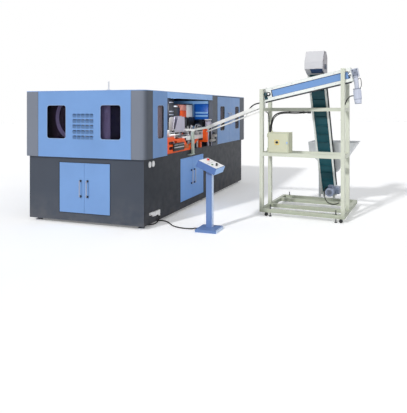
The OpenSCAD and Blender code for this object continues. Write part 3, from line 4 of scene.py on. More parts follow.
import bmesh
import bpy
from mathutils import Matrix, Vector


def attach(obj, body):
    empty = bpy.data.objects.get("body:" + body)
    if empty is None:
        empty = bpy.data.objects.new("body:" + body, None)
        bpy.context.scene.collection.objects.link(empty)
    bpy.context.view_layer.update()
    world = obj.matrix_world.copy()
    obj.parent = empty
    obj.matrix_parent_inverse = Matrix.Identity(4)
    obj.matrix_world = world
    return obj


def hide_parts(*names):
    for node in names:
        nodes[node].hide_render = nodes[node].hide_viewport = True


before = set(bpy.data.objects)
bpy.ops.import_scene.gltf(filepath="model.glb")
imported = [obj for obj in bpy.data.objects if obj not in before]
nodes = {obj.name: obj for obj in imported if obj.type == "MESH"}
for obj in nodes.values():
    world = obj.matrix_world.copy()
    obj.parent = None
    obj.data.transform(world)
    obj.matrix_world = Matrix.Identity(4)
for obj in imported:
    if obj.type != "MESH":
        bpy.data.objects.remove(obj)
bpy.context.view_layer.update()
scene = bpy.context.scene
scene.view_settings.view_transform = "Standard"


# Camera, as fitted to the straight edges of the photograph
PHOTO_W, PHOTO_H = 407, 413
FOCAL_PX, CENTRE_X, CENTRE_Y = 441.8, 250.0, 109.0
CAMERA_AT, CAMERA_YAW, SENSOR = (3.4876, -5.7798, 1.7691), 0.30202, 36
camera_data = bpy.data.cameras.new("camera")
camera = bpy.data.objects.new("camera", camera_data)
scene.collection.objects.link(camera)
camera.location = CAMERA_AT
camera.rotation_euler = (math.radians(90), 0, CAMERA_YAW)
camera_data.sensor_width = SENSOR
camera_data.lens = FOCAL_PX / PHOTO_H * SENSOR
camera_data.shift_x = (PHOTO_W / 2 - CENTRE_X) / PHOTO_H
camera_data.shift_y = (CENTRE_Y - PHOTO_H / 2) / PHOTO_H
camera_data.clip_end = 200
scene.camera = camera


# Places: the planes of the machine in metres, and the frames that its groups stand in
SIDE_X, FRONT_Y, DECK_Z = 0.100, -0.100, 1.040
OUT_RIGHT, OUT_FRONT, OUT_BACK = 0.140, -0.140, 4.495
side_mm, base_mm, deck_mm = SIDE_X * 1000, FRONT_Y * 1000, DECK_Z * 1000
right_mm, front_mm, back_mm = OUT_RIGHT * 1000, OUT_FRONT * 1000, OUT_BACK * 1000


def shift(x, y, z):
    return Matrix.Translation((x, y, z))


def turn(degrees, axis):
    return Matrix.Rotation(math.radians(degrees), 4, axis)


YAW, TROUGH_TILT, ELEVATOR_LEAN, HEAD_TILT = -4.8, 12.2, 25, 22.4
MM = Matrix.Scale(0.001, 4)
LOADER = shift(1.489, 1.294, 0) @ turn(YAW, "Z")
TROUGH = LOADER @ shift(0, 0.030, 1.990) @ turn(-TROUGH_TILT, "Y") @ shift(0, 0, -0.109)
BEVEL_GEAR = TROUGH @ shift(1.502, 0.0925, 0.060)
REDUCER = BEVEL_GEAR @ shift(0.044, 0, 0.002) @ turn(7.2, "Y") @ Matrix.Diagonal((1, 1, -1, 1))
TAIL = LOADER @ shift(0.864, 1.240, 0.300)
ELEVATOR = TAIL @ turn(ELEVATOR_LEAN, "X")
BOX = LOADER @ shift(0.118, -0.020, 1.052)
HEAD = shift(0.878, 0.080, 1.033) @ turn(HEAD_TILT, "Y")


# Colours
def linear(c):
    return tuple(x / 12.92 if x <= 0.04045 else ((x + 0.055) / 1.055) ** 2.4 for x in c)


def rgba(c, k=1.0):
    return tuple(min(1.0, x * k) for x in linear(c)) + (1.0,)


class Tree:
    """Short names for building a material's nodes."""

    def __init__(self, name):
        self.mat = bpy.data.materials.new(name)
        self.mat.use_nodes = True
        self.nt = self.mat.node_tree
        self.nt.nodes.clear()
        self.out = self.nt.nodes.new("ShaderNodeOutputMaterial")
        self.shader = self.nt.nodes.new("ShaderNodeBsdfPrincipled")
        self.nt.links.new(self.shader.outputs[0], self.out.inputs["Surface"])
        self.coord = self.nt.nodes.new("ShaderNodeTexCoord").outputs["Object"]

    def new(self, kind, **inputs):
        node = self.nt.nodes.new("ShaderNode" + kind)
        for key, value in inputs.items():
            self.put(node.inputs[key.replace("_", " ")], value)
        return node

    def put(self, socket, value):
        if isinstance(value, bpy.types.NodeSocket):
            self.nt.links.new(value, socket)
        else:
            socket.default_value = value

    def noise(self, scale, detail=3, stretch=(1, 1, 1)):
        mapping = self.new("Mapping", Vector=self.coord, Scale=stretch)
        return self.new("TexNoise", Vector=mapping.outputs[0], Scale=scale, Detail=detail).outputs["Fac"]

    def ramp(self, fac, low, high, a=0.0, b=1.0):
        node = self.new("MapRange", Value=fac)
        node.inputs["From Min"].default_value = low
        node.inputs["From Max"].default_value = high
        node.inputs["To Min"].default_value = a
        node.inputs["To Max"].default_value = b
        return node.outputs[0]

    def mix(self, fac, a, b):
        node = self.nt.nodes.new("ShaderNodeMix")
        node.data_type = "RGBA"
        self.put(node.inputs[0], fac)
        self.put(node.inputs[6], a)
        self.put(node.inputs[7], b)
        return node.outputs[2]

    def math(self, op, a, b=0.0):
        node = self.nt.nodes.new("ShaderNodeMath")
        node.operation = op
        self.put(node.inputs[0], a)
        self.put(node.inputs[1], b)
        return node.outputs[0]

    def bump(self, height, strength, distance):
        node = self.new("Bump", Height=height, Strength=strength, Distance=distance)
        self.put(self.shader.inputs["Normal"], node.outputs[0])

    def set(self, **inputs):
        for key, value in inputs.items():
            self.put(self.shader.inputs[key.replace("_", " ")], value)
        return self.mat

    def past(self, axis, edge, side=1):
        """1 on the far side of a plane across one axis, in the part's own coordinates."""
        value = self.new("SeparateXYZ", Vector=self.coord).outputs[axis]
        return self.ramp(value, edge - 0.0002 * side, edge + 0.0002 * side)


# Colour of the dust low down, which doubles as painted shade
DUST_AND_SHADE = (0.62, 0.6, 0.57)


def paint(name, colour, rough=0.42, vary=0.05, side=None, dust_and_shade=0.0, peel=0.0003, shine=0.4,
          faces=(0.5, 0.8), floor_shade=None, proud=None):
    """Sprayed paint with slight clouding and orange peel; where asked, a painted shade or painted highlight
    on faces to +X, painted shade near the floor, dust that doubles as painted shade low down, and painted
    shade past a plane."""
    t = Tree(name)
    cloud = t.noise(1.7, 4)
    base = t.mix(t.ramp(cloud, 0.3, 0.7), rgba(colour, 1 - vary), rgba(colour, 1 + vary))
    # Faces to +X take the side tone: painted shade where it is darker, a painted highlight where it is
    # lighter.
    if side:
        normal = t.new("SeparateXYZ", Vector=t.new("NewGeometry").outputs["Normal"])
        base = t.mix(t.ramp(normal.outputs[0], *faces), base, rgba(side))
    # Past the plane the other tone is painted shade.
    if proud:
        base = t.mix(t.past(*proud[:3]), base, rgba(proud[3]))
    # Darker near the floor: painted shade.
    if floor_shade:
        height = t.new("SeparateXYZ", Vector=t.coord).outputs[2]
        base = t.mix(t.ramp(height, 0.08, 0.23, 0.8, 0.0), base, rgba(floor_shade))
    # Dust low down, darker towards the floor, which also stands in as painted shade.
    if dust_and_shade:
        height = t.new("SeparateXYZ", Vector=t.coord).outputs[2]
        dust_and_shade_mask = t.math("MULTIPLY", t.ramp(height, 0.0, 0.5, dust_and_shade, 0.0), t.ramp(t.noise(6, 5), 0.35, 0.7))
        base = t.mix(dust_and_shade_mask, base, rgba(DUST_AND_SHADE))
    t.bump(t.noise(420, 2), 0.25, peel)
    t.shader.inputs["Specular IOR Level"].default_value = shine
    return t.set(Base_Color=base, Roughness=t.ramp(t.noise(9, 3), 0.3, 0.7, rough - 0.05, rough + 0.07))


BARE = (0.74, 0.75, 0.78)


def painted_with_metal(name, colour, axis, edge, side=1):
    """Paint on a leaf, and bright metal on the handle that stands out past its face."""
    t = Tree(name)
    cloud = t.noise(1.7, 4)
    base = t.mix(t.ramp(cloud, 0.3, 0.7), rgba(colour, 0.95), rgba(colour, 1.05))
    handle = t.past(axis, edge, side)
    base = t.mix(handle, base, rgba(BARE))
    t.bump(t.noise(420, 2), 0.25, 0.0004)
    return t.set(Base_Color=base, Metallic=handle, Roughness=t.ramp(t.noise(9, 3), 0.3, 0.7, 0.34, 0.48))


def metal(name, colour, rough=0.32, stretch=(1, 1, 60), vary=0.08, metallic=1.0):
    """Brushed or ground metal with fine lines across the stretched axis."""
    t = Tree(name)
    lines = t.noise(14, 4, stretch)
    cloud = t.noise(3, 3)
    base = t.mix(t.ramp(cloud, 0.3, 0.7), rgba(colour, 1 - vary), rgba(colour, 1 + vary))
    t.bump(lines, 0.12, 0.0003)
    return t.set(Base_Color=base, Metallic=metallic,
                 Roughness=t.ramp(lines, 0.3, 0.7, rough - 0.07, rough + 0.1))


def plastic(name, colour, rough=0.45, vary=0.04, grain=0.0002, scale=700):
    """Moulded plastic or rubber with a fine grain."""
    t = Tree(name)
    base = t.mix(t.ramp(t.noise(5, 3), 0.3, 0.7), rgba(colour, 1 - vary), rgba(colour, 1 + vary))
    t.bump(t.noise(scale, 2), 0.2, grain)
    return t.set(Base_Color=base, Roughness=t.ramp(t.noise(20, 2), 0.3, 0.7, rough - 0.05, rough + 0.05))


def smoked(name, colour):
    """Smoked polycarbonate: what stands close behind it shows faintly."""
    t = Tree(name)
    tint = t.mix(t.ramp(t.noise(2.2, 2), 0.3, 0.7), rgba(colour, 0.94), rgba(colour, 1.06))
    t.shader.inputs["IOR"].default_value = 1.1
    t.shader.inputs["Transmission Weight"].default_value = 1.0
    return t.set(Base_Color=tint, Roughness=t.ramp(t.noise(5, 3), 0.3, 0.7, 0.02, 0.06))


BLUE_RGB, LOUVRE_SHADE_RGB = (0.435, 0.585, 0.79), (0.33, 0.46, 0.63)
BLUE = paint("blue_powder_coat", BLUE_RGB)
# The louvre hoods that stand proud of the front panel are painted darker: painted shade under each hood.
LOUVRED = paint("louvred_panel_shaded_hoods", BLUE_RGB, proud=(1, OUT_FRONT - 0.0012, -1, LOUVRE_SHADE_RGB))
LOUVRE_SHADE = paint("louvre_painted_shade", LOUVRE_SHADE_RGB)
FRONT_DOOR = painted_with_metal("front_door_paint", BLUE_RGB, 1, FRONT_Y - 0.001, -1)
# Side doors: a lighter, bluer copy of the panel blue, painted light on the shaded +X side.
SIDE_DOOR = painted_with_metal("side_door_lit_blue", (0.44, 0.635, 0.90), 0, SIDE_X + 0.001)
GUARD_DOOR = painted_with_metal("guard_door_paint", BLUE_RGB, 0, OUT_RIGHT + 0.001)
PALE_BLUE = paint("pale_blue_powder_coat", (0.57, 0.73, 0.94))
# A lighter copy of the pale blue for the bay's far beams and slots: painted light where they stand in shade.
BAY_LIT_BLUE = paint("bay_blue_painted_light", (0.58, 0.79, 1.0))
DEEP_BLUE = paint("deep_blue_panel", (0.08, 0.40, 0.80), rough=0.35)
# Console head and stand: their +X faces are painted lighter, a painted highlight on that side.
CONSOLE_BLUE = paint("console_paint_lit_side", (0.32, 0.445, 0.67), side=(0.62, 0.77, 0.97))
STAND_BLUE = paint("stand_paint_lit_side", (0.39, 0.50, 0.69), side=(0.83, 0.90, 1.0))
# Base cabinet: its +X faces are painted darker, painted shade on that side; it is also darker low down.
SLATE = paint("slate_coat_shaded_side", (0.25, 0.275, 0.32), side=(0.12, 0.14, 0.18), dust_and_shade=0.15, shine=0.3)
# Corner covers, frame and pillar: their +X faces are painted darker, painted shade on that side.
GREY = paint("grey_coat_shaded_side", (0.44, 0.465, 0.515), rough=0.5, vary=0.03, side=(0.30, 0.325, 0.37),
             peel=0.0001, faces=(0.55, 1.0))
ORANGE = paint("orange_paint", (1.0, 0.37, 0.10), rough=0.45, shine=0.3)
PINK = paint("faded_orange", (0.93, 0.62, 0.55), rough=0.4)
AMBER = paint("amber_paint", (0.72, 0.36, 0.10), rough=0.4)
# Loader cream: darker near the floor and dusty low down, painted shade on the lowest rails.
CREAM = paint("cream_powder_coat", (0.80, 0.815, 0.755), dust_and_shade=0.3, floor_shade=(0.60, 0.63, 0.55))
BOX_CREAM = paint("box_cream", (0.785, 0.79, 0.69))
# A whiter copy of the loader cream on the elevator frame, trough and unscrambler plate: painted light that
# lifts the shaded elevator channel.
LIT_RAIL_CREAM = paint("rail_cream_painted_light", (0.90, 0.915, 0.90))
TANK = paint("tank_paint", (0.3, 0.42, 0.62), rough=0.3)
TEAL = paint("teal_paint", (0.06, 0.27, 0.31), rough=0.35)
DARK = paint("dark_machine_paint", (0.16, 0.17, 0.20), rough=0.35, vary=0.15)
LILAC = paint("lilac_sheet", (0.74, 0.73, 0.80), rough=0.4)
SAND = paint("sand_sheet", (0.63, 0.62, 0.61), rough=0.4, vary=0.08)
WHITE = plastic("white_plastic", (0.93, 0.93, 0.93))
BRIGHT = plastic("bright_panel", (0.98, 0.98, 0.99), rough=0.3)
BLACK = plastic("black_plastic", (0.08, 0.08, 0.09))
RUBBER = plastic("black_rubber", (0.035, 0.035, 0.04), rough=0.6)
SEAL = plastic("window_seal", (0.60, 0.70, 0.85), rough=0.5)
GREEN = plastic("green_plastic", (0.1, 0.4, 0.2), rough=0.25)
RED = plastic("red_plastic", (0.82, 0.08, 0.06), rough=0.22)
YELLOW = plastic("yellow_plate", (0.93, 0.78, 0.22), rough=0.3)
BELT = plastic("teal_belt", (0.02, 0.29, 0.33), rough=0.55, vary=0.12, grain=0.0006, scale=260)
STEEL = metal("stainless_steel", (0.78, 0.78, 0.80))
GROUND = metal("ground_steel", (0.70, 0.71, 0.73), rough=0.28, stretch=(60, 1, 1))
ZINC = metal("zinc_plate", (0.76, 0.77, 0.80), rough=0.38, stretch=(6, 6, 6), vary=0.12)
# Below 0.8 m the silver paint turns darker: painted shade on the elevator motor under the elevator.
CAST = paint("silver_paint_shaded_low", (0.76, 0.78, 0.84), rough=0.35, vary=0.08,
             proud=(2, 0.8, -1, (0.53, 0.57, 0.66)))
HOPPER = metal("hopper_steel", (0.85, 0.86, 0.87), rough=0.42, stretch=(1, 1, 30),
               metallic=0.4)
# Hood sheet: its +X faces are painted darker, painted shade on that side.
HOOD = paint("hood_sheet", (0.785, 0.785, 0.80), rough=0.4, side=(0.60, 0.59, 0.62))
SMOKED = smoked("smoked_panes", (0.72, 0.69, 0.76))
SCREEN = paint("inner_screen", (0.17, 0.11, 0.18), rough=0.3, vary=0.1)
NIGHT = paint("inner_night_blue", (0.04, 0.07, 0.22), rough=0.3, vary=0.1)
# Pale lilac for the sheets behind the front panes: painted reflections.
REFLECTION_LILAC = paint("painted_reflection_lilac", (0.66, 0.66, 0.75), rough=0.4)
BEIGE = paint("inner_beige", (0.93, 0.91, 0.80), rough=0.4, vary=0.1)
BROWN = paint("inner_brown", (0.40, 0.36, 0.33), rough=0.4, vary=0.12)
NAVY = paint("inner_navy", (0.06, 0.08, 0.17), rough=0.35, vary=0.1)
FLAP = paint("blue_flap", (0.15, 0.29, 0.48), rough=0.35, vary=0.15)
EDGE = paint("dark_blue_edge", (0.16, 0.25, 0.40), rough=0.4)
MOTOR_GREY = paint("motor_grey", (0.50, 0.53, 0.60), rough=0.4)


def chute_look(leg_top):
    """Bright sheet on the chute, and green-grey paint on the leg that carries its lower end."""
    t = Tree("chute_steel")
    base = t.mix(t.ramp(t.noise(3, 3), 0.3, 0.7), rgba((0.82, 0.83, 0.82)), rgba((0.90, 0.90, 0.88)))
    bright = t.past(2, leg_top)
    base = t.mix(bright, rgba((0.66, 0.71, 0.67)), base)
    t.bump(t.noise(14, 4, (20, 20, 20)), 0.12, 0.0003)
    return t.set(Base_Color=base, Metallic=t.math("MULTIPLY", bright, 0.3),
                 Roughness=t.ramp(t.noise(9, 3), 0.3, 0.7, 0.3, 0.42))


LEG_TOP = 1.36
CHUTE = chute_look(LEG_TOP)
LEG = paint("leg_paint", (0.55, 0.62, 0.55), rough=0.4)

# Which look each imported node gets
LOOKS = (
    (SLATE, "base_cabinet"),
    (GREY, "housing_frame", "corner_covers", "bay_pillar"),
    (BLUE, "closing_panels", "side_panel", "trough_panels"),
    (LOUVRED, "front_panel"),
    (PALE_BLUE, "bay_header"),
    (FRONT_DOOR, "front_door_left", "front_door_right"),
    (SIDE_DOOR, "side_door_left", "side_door_right"),
    (GUARD_DOOR, "guard_door_left", "guard_door_right"),
    (SMOKED, "window_panes", "guard_window_left", "guard_window_right"),
    (ZINC, "levelling_feet", "signal_rod", "electrical_panel"),
    (WHITE, "cable_ports", "star_wheel", "infeed_table"),
    (STEEL, "oven_tunnel"),
    (GROUND, "preform_chain", "chain_sprocket", "clamp_frame", "mould_half_near", "mould_half_far",
     "stretch_rods", "head_pulley", "tail_pulley", "roller_left", "roller_right"),
    (ORANGE, "infeed_frame"),
    (LILAC, "infeed_guard"),
    (TANK, "air_tank"),
    (STAND_BLUE, "console_stand"),
    (CONSOLE_BLUE, "console_head"),
    (BRIGHT, "console_panel"),
    (RED, "emergency_stop"),
    (GREEN, "start_button"),
    (BLACK, "stop_button", "mode_selector", "loader_feet", "main_switch"),
    (RUBBER, "console_cable", "loader_cables", "paddle_wheel"),
    (CREAM, "loader_frame"),
    (LIT_RAIL_CREAM, "elevator_frame", "trough"),
    (BOX_CREAM, "control_box", "control_box_door"),
    (BELT, "elevator_belt"),
    (HOOD, "elevator_hood"),
    (CAST, "drive_motors"),
    (HOPPER, "hopper"),
    (CHUTE, "chute_rails"),
)
for look, *names in LOOKS:
    for name in names:
        mesh = nodes[name].data
        mesh.materials.clear()
        mesh.materials.append(look)


# Route of the console's cord, as the solid has it
ROUTE = [
    (125, 309, 130), (125, 309, 120), (124, 309, 100), (116, 300, 60), (98, 276, 26), (72, 240, 9),
    (45, 200, 9), (8, 168, 9), (-42, 166, 9), (-78, 200, 9), (-86, 260, 9), (-76, 330, 9), (-44, 400, 9),
    (20, 448, 9), (100, 462, 9), (190, 432, 9), (280, 350, 9), (360, 268, 9), (440, 208, 9), (540, 170, 9),
    (650, 154, 9), (740, 160, 12), (785, 166, 20), (819, 168, 22), (829, 168, 22),
]


def spline(points, n):
    """The smooth path through the points that the solid follows."""
    path = []
    for i in range(len(points) - 1):
        p, q, r, s = (Vector(points[max(0, min(j, len(points) - 1))]) for j in (i - 1, i, i + 1, i + 2))
        for k in range(n):
            t = k / n
            square, cube = 2 * p - 5 * q + 4 * r - s, 3 * q - p - 3 * r + s
            path.append(0.5 * (2 * q + (r - p) * t + square * t * t + cube * t ** 3))
    return path + [Vector(points[-1])]


def circle(bm, centre, u, w, radius, sides, place=None):
    """One ring of points round a centre, in the plane of u and w."""
    turns = [k * math.tau / sides for k in range(sides)]
    points = [centre + radius * (math.cos(a) * u + math.sin(a) * w) for a in turns]
    return [bm.verts.new(place @ q if place else q) for q in points]


def skin(bm, rings, closed=False):
    """Faces between rings that follow each other: both ends get a cap, or the last ring meets the first."""
    n = len(rings[0])
    for p, q in zip(rings, rings[1:] + rings[:1] if closed else rings[1:]):
        for k in range(n):
            bm.faces.new((p[k], p[(k + 1) % n], q[(k + 1) % n], q[k]))
    if not closed:
        bm.faces.new(rings[0][::-1])
        bm.faces.new(rings[-1])


def tube(name, path, radius, look, body, sides=16):
    """A round tube along a path, ends closed."""
    bm = bmesh.new()
    rings = []
    before = None
    for i, p in enumerate(path):
        d = (path[min(i + 1, len(path) - 1)] - path[max(i - 1, 0)]).normalized()
        a = before - d * before.dot(d) if before else d.orthogonal()
        a.normalize()
        before = a
        rings.append(circle(bm, p, a, d.cross(a), radius, sides))
    skin(bm, rings)
    return put(name, bm, look, body)


def put(name, bm, look, body, smooth=True):
    """Makes the object, gives it its look and slot, and lets it ride on its body."""
    bmesh.ops.recalc_face_normals(bm, faces=bm.faces)
    mesh = bpy.data.meshes.new(name)
    bm.to_mesh(mesh)
    bm.free()
    obj = bpy.data.objects.new(name, mesh)
    scene.collection.objects.link(obj)
    mesh.materials.append(look)
    if smooth:
        mesh.shade_smooth()
        mesh.set_sharp_from_angle(angle=math.radians(40))
    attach(obj, body)
    return obj


def lead(name, points, radius, replaced=None, place=None):
    """A cord along the smooth path through its points, with both ends fixed in the machine."""
    place = place or Matrix.Identity(4)
    path = [place @ (p / 1000) for p in spline(points, 6)]
    path = [Vector((p.x, p.y, max(p.z, radius))) for p in path]
    cord = tube(name, path, radius, RUBBER, "machine")
    if replaced:
        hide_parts(replaced)


lead("console_cord", ROUTE, 0.009, "console_cable")
lead("box_cable", [
    (145, 10, 1410), (145, 12, 1440), (143, 34, 1484), (136, 84, 1534), (126, 148, 1578), (120, 214, 1616),
    (126, 276, 1652), (150, 326, 1682), (196, 358, 1703), (260, 373, 1714), (340, 376, 1717),
    (480, 376, 1717), (620, 376, 1717), (700, 376, 1717)], 0.011, "loader_cables", LOADER)
lead("box_cable_thin", [
    (163, 14, 1410), (163, 16, 1440), (161, 38, 1482), (154, 86, 1528), (143, 150, 1568), (137, 216, 1602),
    (143, 278, 1636), (168, 328, 1666), (216, 360, 1688), (290, 374, 1696), (370, 378, 1697),
    (460, 378, 1694), (550, 378, 1698), (630, 377, 1705), (700, 377, 1709)], 0.008, None, LOADER)
lead("elevator_motor_lead", [
    (2482, 2187, 384), (2466, 2186, 382), (2444, 2182, 370), (2422, 2174, 342), (2410, 2162, 296),
    (2409, 2148, 236), (2424, 2134, 174), (2456, 2124, 124), (2502, 2117, 96), (2552, 2113, 86),
    (2600, 2113, 89), (2636, 2116, 99), (2656, 2122, 107), (2668, 2128, 112)], 0.0075)
lead("trough_motor_lead", [
    (2982, 1291, 1975), (2956, 1289, 1974), (2930, 1282, 1966), (2900, 1264, 1938), (2878, 1243, 1902),
    (2866, 1222, 1872), (2860, 1208, 1852), (2850, 1200, 1842)], 0.008)
lead("air_hose", [
    (1484, 1420, 1870), (1462, 1428, 1873), (1435, 1438, 1873), (1400, 1450, 1869), (1342, 1470, 1858),
    (1290, 1486, 1838), (1245, 1498, 1808), (1205, 1510, 1768), (1180, 1520, 1742), (1168, 1528, 1728)],
    0.011)
lead("post_cable", [
    (58, 30, 1722), (74, 30, 1719), (92, 30, 1706), (107, 29, 1680), (116, 28, 1644), (120, 27, 1600),
    (122, 26, 1550), (124, 25, 1500), (126, 24, 1450), (127, 24, 1410), (127, 24, 1398)],
    0.007, None, LOADER)
lead("reducer_hose", [
    (33, -4, 44), (43, -5, 31), (55, -6, 27), (66, -7, 34), (73, -8, 52), (75, -8, 80), (75, -8, 110),
    (73, -8, 138), (67, -7, 158), (58, -6, 172), (51, -5, 184), (48, -4, 196)], 0.005, None, REDUCER)


class Shape:
    """Collects bevelled blocks, rods and turned forms into one piece, in millimetres of its place."""

    def __init__(self, place=None):
        self.bm = bmesh.new()
        self.place = (place or Matrix.Identity(4)) @ MM

    def block(self, low, high, bevel=3):
        """A box between two corners, with its edges broken."""
        low, high = Vector(low), Vector(high)
        made = bmesh.ops.create_cube(self.bm, size=1.0)["verts"]
        size = high - low
        for v in made:
            v.co = (low + high) / 2 + Vector((v.co.x * size.x, v.co.y * size.y, v.co.z * size.z))
        edges = {e for v in made for e in v.link_edges}
        bevel = min(bevel, 0.4 * min(size))
        if bevel > 0:
            made = bmesh.ops.bevel(self.bm, geom=list(edges), offset=bevel, segments=2, affect="EDGES",
                                   profile=0.5)["verts"]
        for v in made:
            v.co = self.place @ v.co
        return self

    def rod(self, a, b, r, r2=None, sides=24, bevel=0):
        """A round bar from a to b, which may taper."""
        a, b = Vector(a), Vector(b)
        r2 = r if r2 is None else r2
        length = (b - a).length
        stops = [(0.0, max(r - bevel, 0.1)), (bevel, r), (length - bevel, r2), (length, max(r2 - bevel, 0.1))]
        if not bevel:
            stops = [stops[0], stops[3]]
        return self.turned(stops, a, b - a, sides)

    def turned(self, profile, at=(0, 0, 0), axis=(0, 0, 1), sides=24):
        """Turns (height, radius) pairs about an axis and closes both ends."""
        at, d = Vector(at), Vector(axis).normalized()
        u = d.orthogonal().normalized()
        w = d.cross(u)
        skin(self.bm, [circle(self.bm, at + d * h, u, w, r, sides, self.place) for h, r in profile])
        return self

    def plate(self, outline, axis, low, high):
        """A flat plate: an outline of pairs, pulled from low to high along one axis."""
        def point(u, v, h):
            c = [u, v]
            c.insert(axis, h)
            return self.bm.verts.new(self.place @ Vector(c))
        a = [point(u, v, low) for u, v in outline]
        b = [point(u, v, high) for u, v in outline]
        n = len(outline)
        self.bm.faces.new(a)
        self.bm.faces.new(b[::-1])
        for i in range(n):
            self.bm.faces.new((a[i], a[(i + 1) % n], b[(i + 1) % n], b[i]))
        return self

    def hex(self, at, axis, across, height):
        """A bolt's head."""
        r = across / math.sqrt(3)
        return self.turned([(0, r), (height * 0.8, r), (height, r * 0.85)], at, axis, 6)

    def done(self, name, look, body="machine", smooth=True):
        return put(name, self.bm, look, body, smooth)

    def ring(self, u, v, w, h, r, width, axis, low, high, steps=6):
        """A flat frame round an opening of w by h with rounded corners, pulled from low to high."""
        def outline(grow):
            points = []
            corners = ((u + w - r, v + h - r), (u + r, v + h - r), (u + r, v + r), (u + w - r, v + r))
            for quarter, (cx, cy) in enumerate(corners):
                for k in range(steps + 1):
                    a = math.radians(90 * (quarter + k / steps))
                    points.append((cx + (r + grow) * math.cos(a), cy + (r + grow) * math.sin(a)))
            return points
        loops = []
        for grow, at in ((0, low), (width, low), (width, high), (0, high)):
            loop = []
            for x, y in outline(grow):
                c = [x, y]
                c.insert(axis, at)
                loop.append(self.bm.verts.new(self.place @ Vector(c)))
            loops.append(loop)
        skin(self.bm, loops, closed=True)
        return self


# Window seals on the panels, and the screens that show through the smoked panes
WIN_LOW, WIN_H, WIN_R = 1315, 510, 40
PROUD, REAR_PROUD, SEAL_W = 1.6, 0.3, 7
FRONT_WINDOWS, REAR_WINDOWS, END_W = (-1584, -612), (-1596, -612), 348
SIDE_WINDOW, SIDE_W = 229.3, 196
GUARD_WINDOWS, GUARD_W = (("guard_door_left", 2873), ("guard_door_right", 3813)), 256
seals = Shape()
for x in FRONT_WINDOWS:
    seals.ring(x, WIN_LOW, END_W, WIN_H, WIN_R, SEAL_W, 1, front_mm - PROUD, front_mm + 1)
for x in REAR_WINDOWS:
    seals.ring(x, WIN_LOW, END_W, WIN_H, WIN_R, SEAL_W, 1, back_mm - 3, back_mm + REAR_PROUD)
seals.ring(SIDE_WINDOW, WIN_LOW, SIDE_W, WIN_H, WIN_R, SEAL_W, 0, right_mm - 1, right_mm + PROUD)
seals.done("window_seals", SEAL)


def screen(name, look, axis, start, width, face, rim, body="machine"):
    """A thin sheet behind a window, wider than its opening by a rim all round."""
    low, high = [start - rim, WIN_LOW - rim], [start + width + rim, WIN_LOW + WIN_H + rim]
    low.insert(axis, face)
    high.insert(axis, face + 3)
    Shape().block(low, high, 1).done(name, look, body)


SIDE_SCREEN_IN, END_SCREEN_IN = 36, 76
for (body, y), look in zip(GUARD_WINDOWS, (BROWN, NAVY)):
    seal = Shape().ring(y, WIN_LOW, GUARD_W, WIN_H, WIN_R, SEAL_W, 0, right_mm - 1, right_mm + PROUD)
    seal.done(body + "_seal", SEAL, body)
    screen(body + "_screen", look, 0, y, GUARD_W, right_mm - SIDE_SCREEN_IN, 12, body)
for name, x, look in zip(("front_screen_left", "front_screen_right"), FRONT_WINDOWS, (SCREEN, NIGHT)):
    screen(name, look, 1, x, END_W, front_mm + END_SCREEN_IN, 60)
screens = Shape()
for x in REAR_WINDOWS:
    screens.block((x - 20, back_mm - END_SCREEN_IN - 3, WIN_LOW - 20),
                  (x + END_W + 20, back_mm - END_SCREEN_IN, WIN_LOW + WIN_H + 20), 1)
screens.done("rear_screens", SCREEN)
screen("side_screen", BEIGE, 0, SIDE_WINDOW, SIDE_W, right_mm - SIDE_SCREEN_IN, 12)


# The pale curved sheet behind the left front window and the pale sheet behind the right one: painted
# reflections, seen through the smoked panes
ARC_Y, ARC_T, ARC_IN, ARC_OUT = front_mm + 62, 8, 300, 362
ARC_X, ARC_Z = FRONT_WINDOWS[0] + 469, WIN_LOW + 319
ARC_START, ARC_SWEEP, ARC_STEPS = 118, 124, 22
reflection_arc = Shape()
for k in range(ARC_STEPS):
    a, b = (math.radians(ARC_START + ARC_SWEEP * (k + i) / ARC_STEPS) for i in (0, 1))
    corners = [(ARC_X + r * math.cos(c), ARC_Z + r * math.sin(c))
               for c, r in ((a, ARC_IN), (b, ARC_IN), (b, ARC_OUT), (a, ARC_OUT))]
    reflection_arc.plate(corners, 1, ARC_Y, ARC_Y + ARC_T)
reflection_arc.done("curved_reflection_sheet", REFLECTION_LILAC, smooth=False)
pale = Shape().block((FRONT_WINDOWS[1] - 50, ARC_Y, WIN_LOW - 50),
                     (FRONT_WINDOWS[1] + 0.37 * END_W, ARC_Y + ARC_T, WIN_LOW + WIN_H + 50))
pale.done("window_reflection_sheet", REFLECTION_LILAC)


# Folded lips under the louvres, in the darker louvre blue: painted shade below each hood
LOUVRE_X0, LOUVRE_Z0, LOUVRE_W, PITCH_X, PITCH_Z, LIP = -1107, 1320, 62, 76, 83, 12
lips = Shape()
for row in range(5):
    for column in range(5):
        x, z = LOUVRE_X0 + PITCH_X * column, LOUVRE_Z0 + PITCH_Z * row
        lips.block((x, front_mm - 2.5, z - LIP), (x + LOUVRE_W, front_mm + 0.5, z), 1)
lips.done("louvre_lips", LOUVRE_SHADE)


# Cast brackets under each door handle
FOOT_OUT, HANDLE_H = 20, 236


def handle_feet(body, axis, u, face, z, out, look=DARK):
    feet = Shape()
    for end in (z, z + HANDLE_H):
        low, high = [u - 13, u - 13, end - 15], [u + 13, u + 13, end + 15]
        low[axis], high[axis] = min(face, face + out), max(face, face + out)
        feet.block(low, high)
    feet.done(body + "_feet", look, body)


for body, x in (("front_door_left", -992), ("front_door_right", -868)):
    handle_feet(body, 1, x, base_mm, 435, -FOOT_OUT)
for body, y in (("side_door_left", 1523), ("side_door_right", 1647)):
    handle_feet(body, 0, y, side_mm, 433, FOOT_OUT, EDGE)
for body, y in (("guard_door_left", 3370.5), ("guard_door_right", 3494.5)):
    handle_feet(body, 0, y, right_mm, 1442, FOOT_OUT, ZINC)


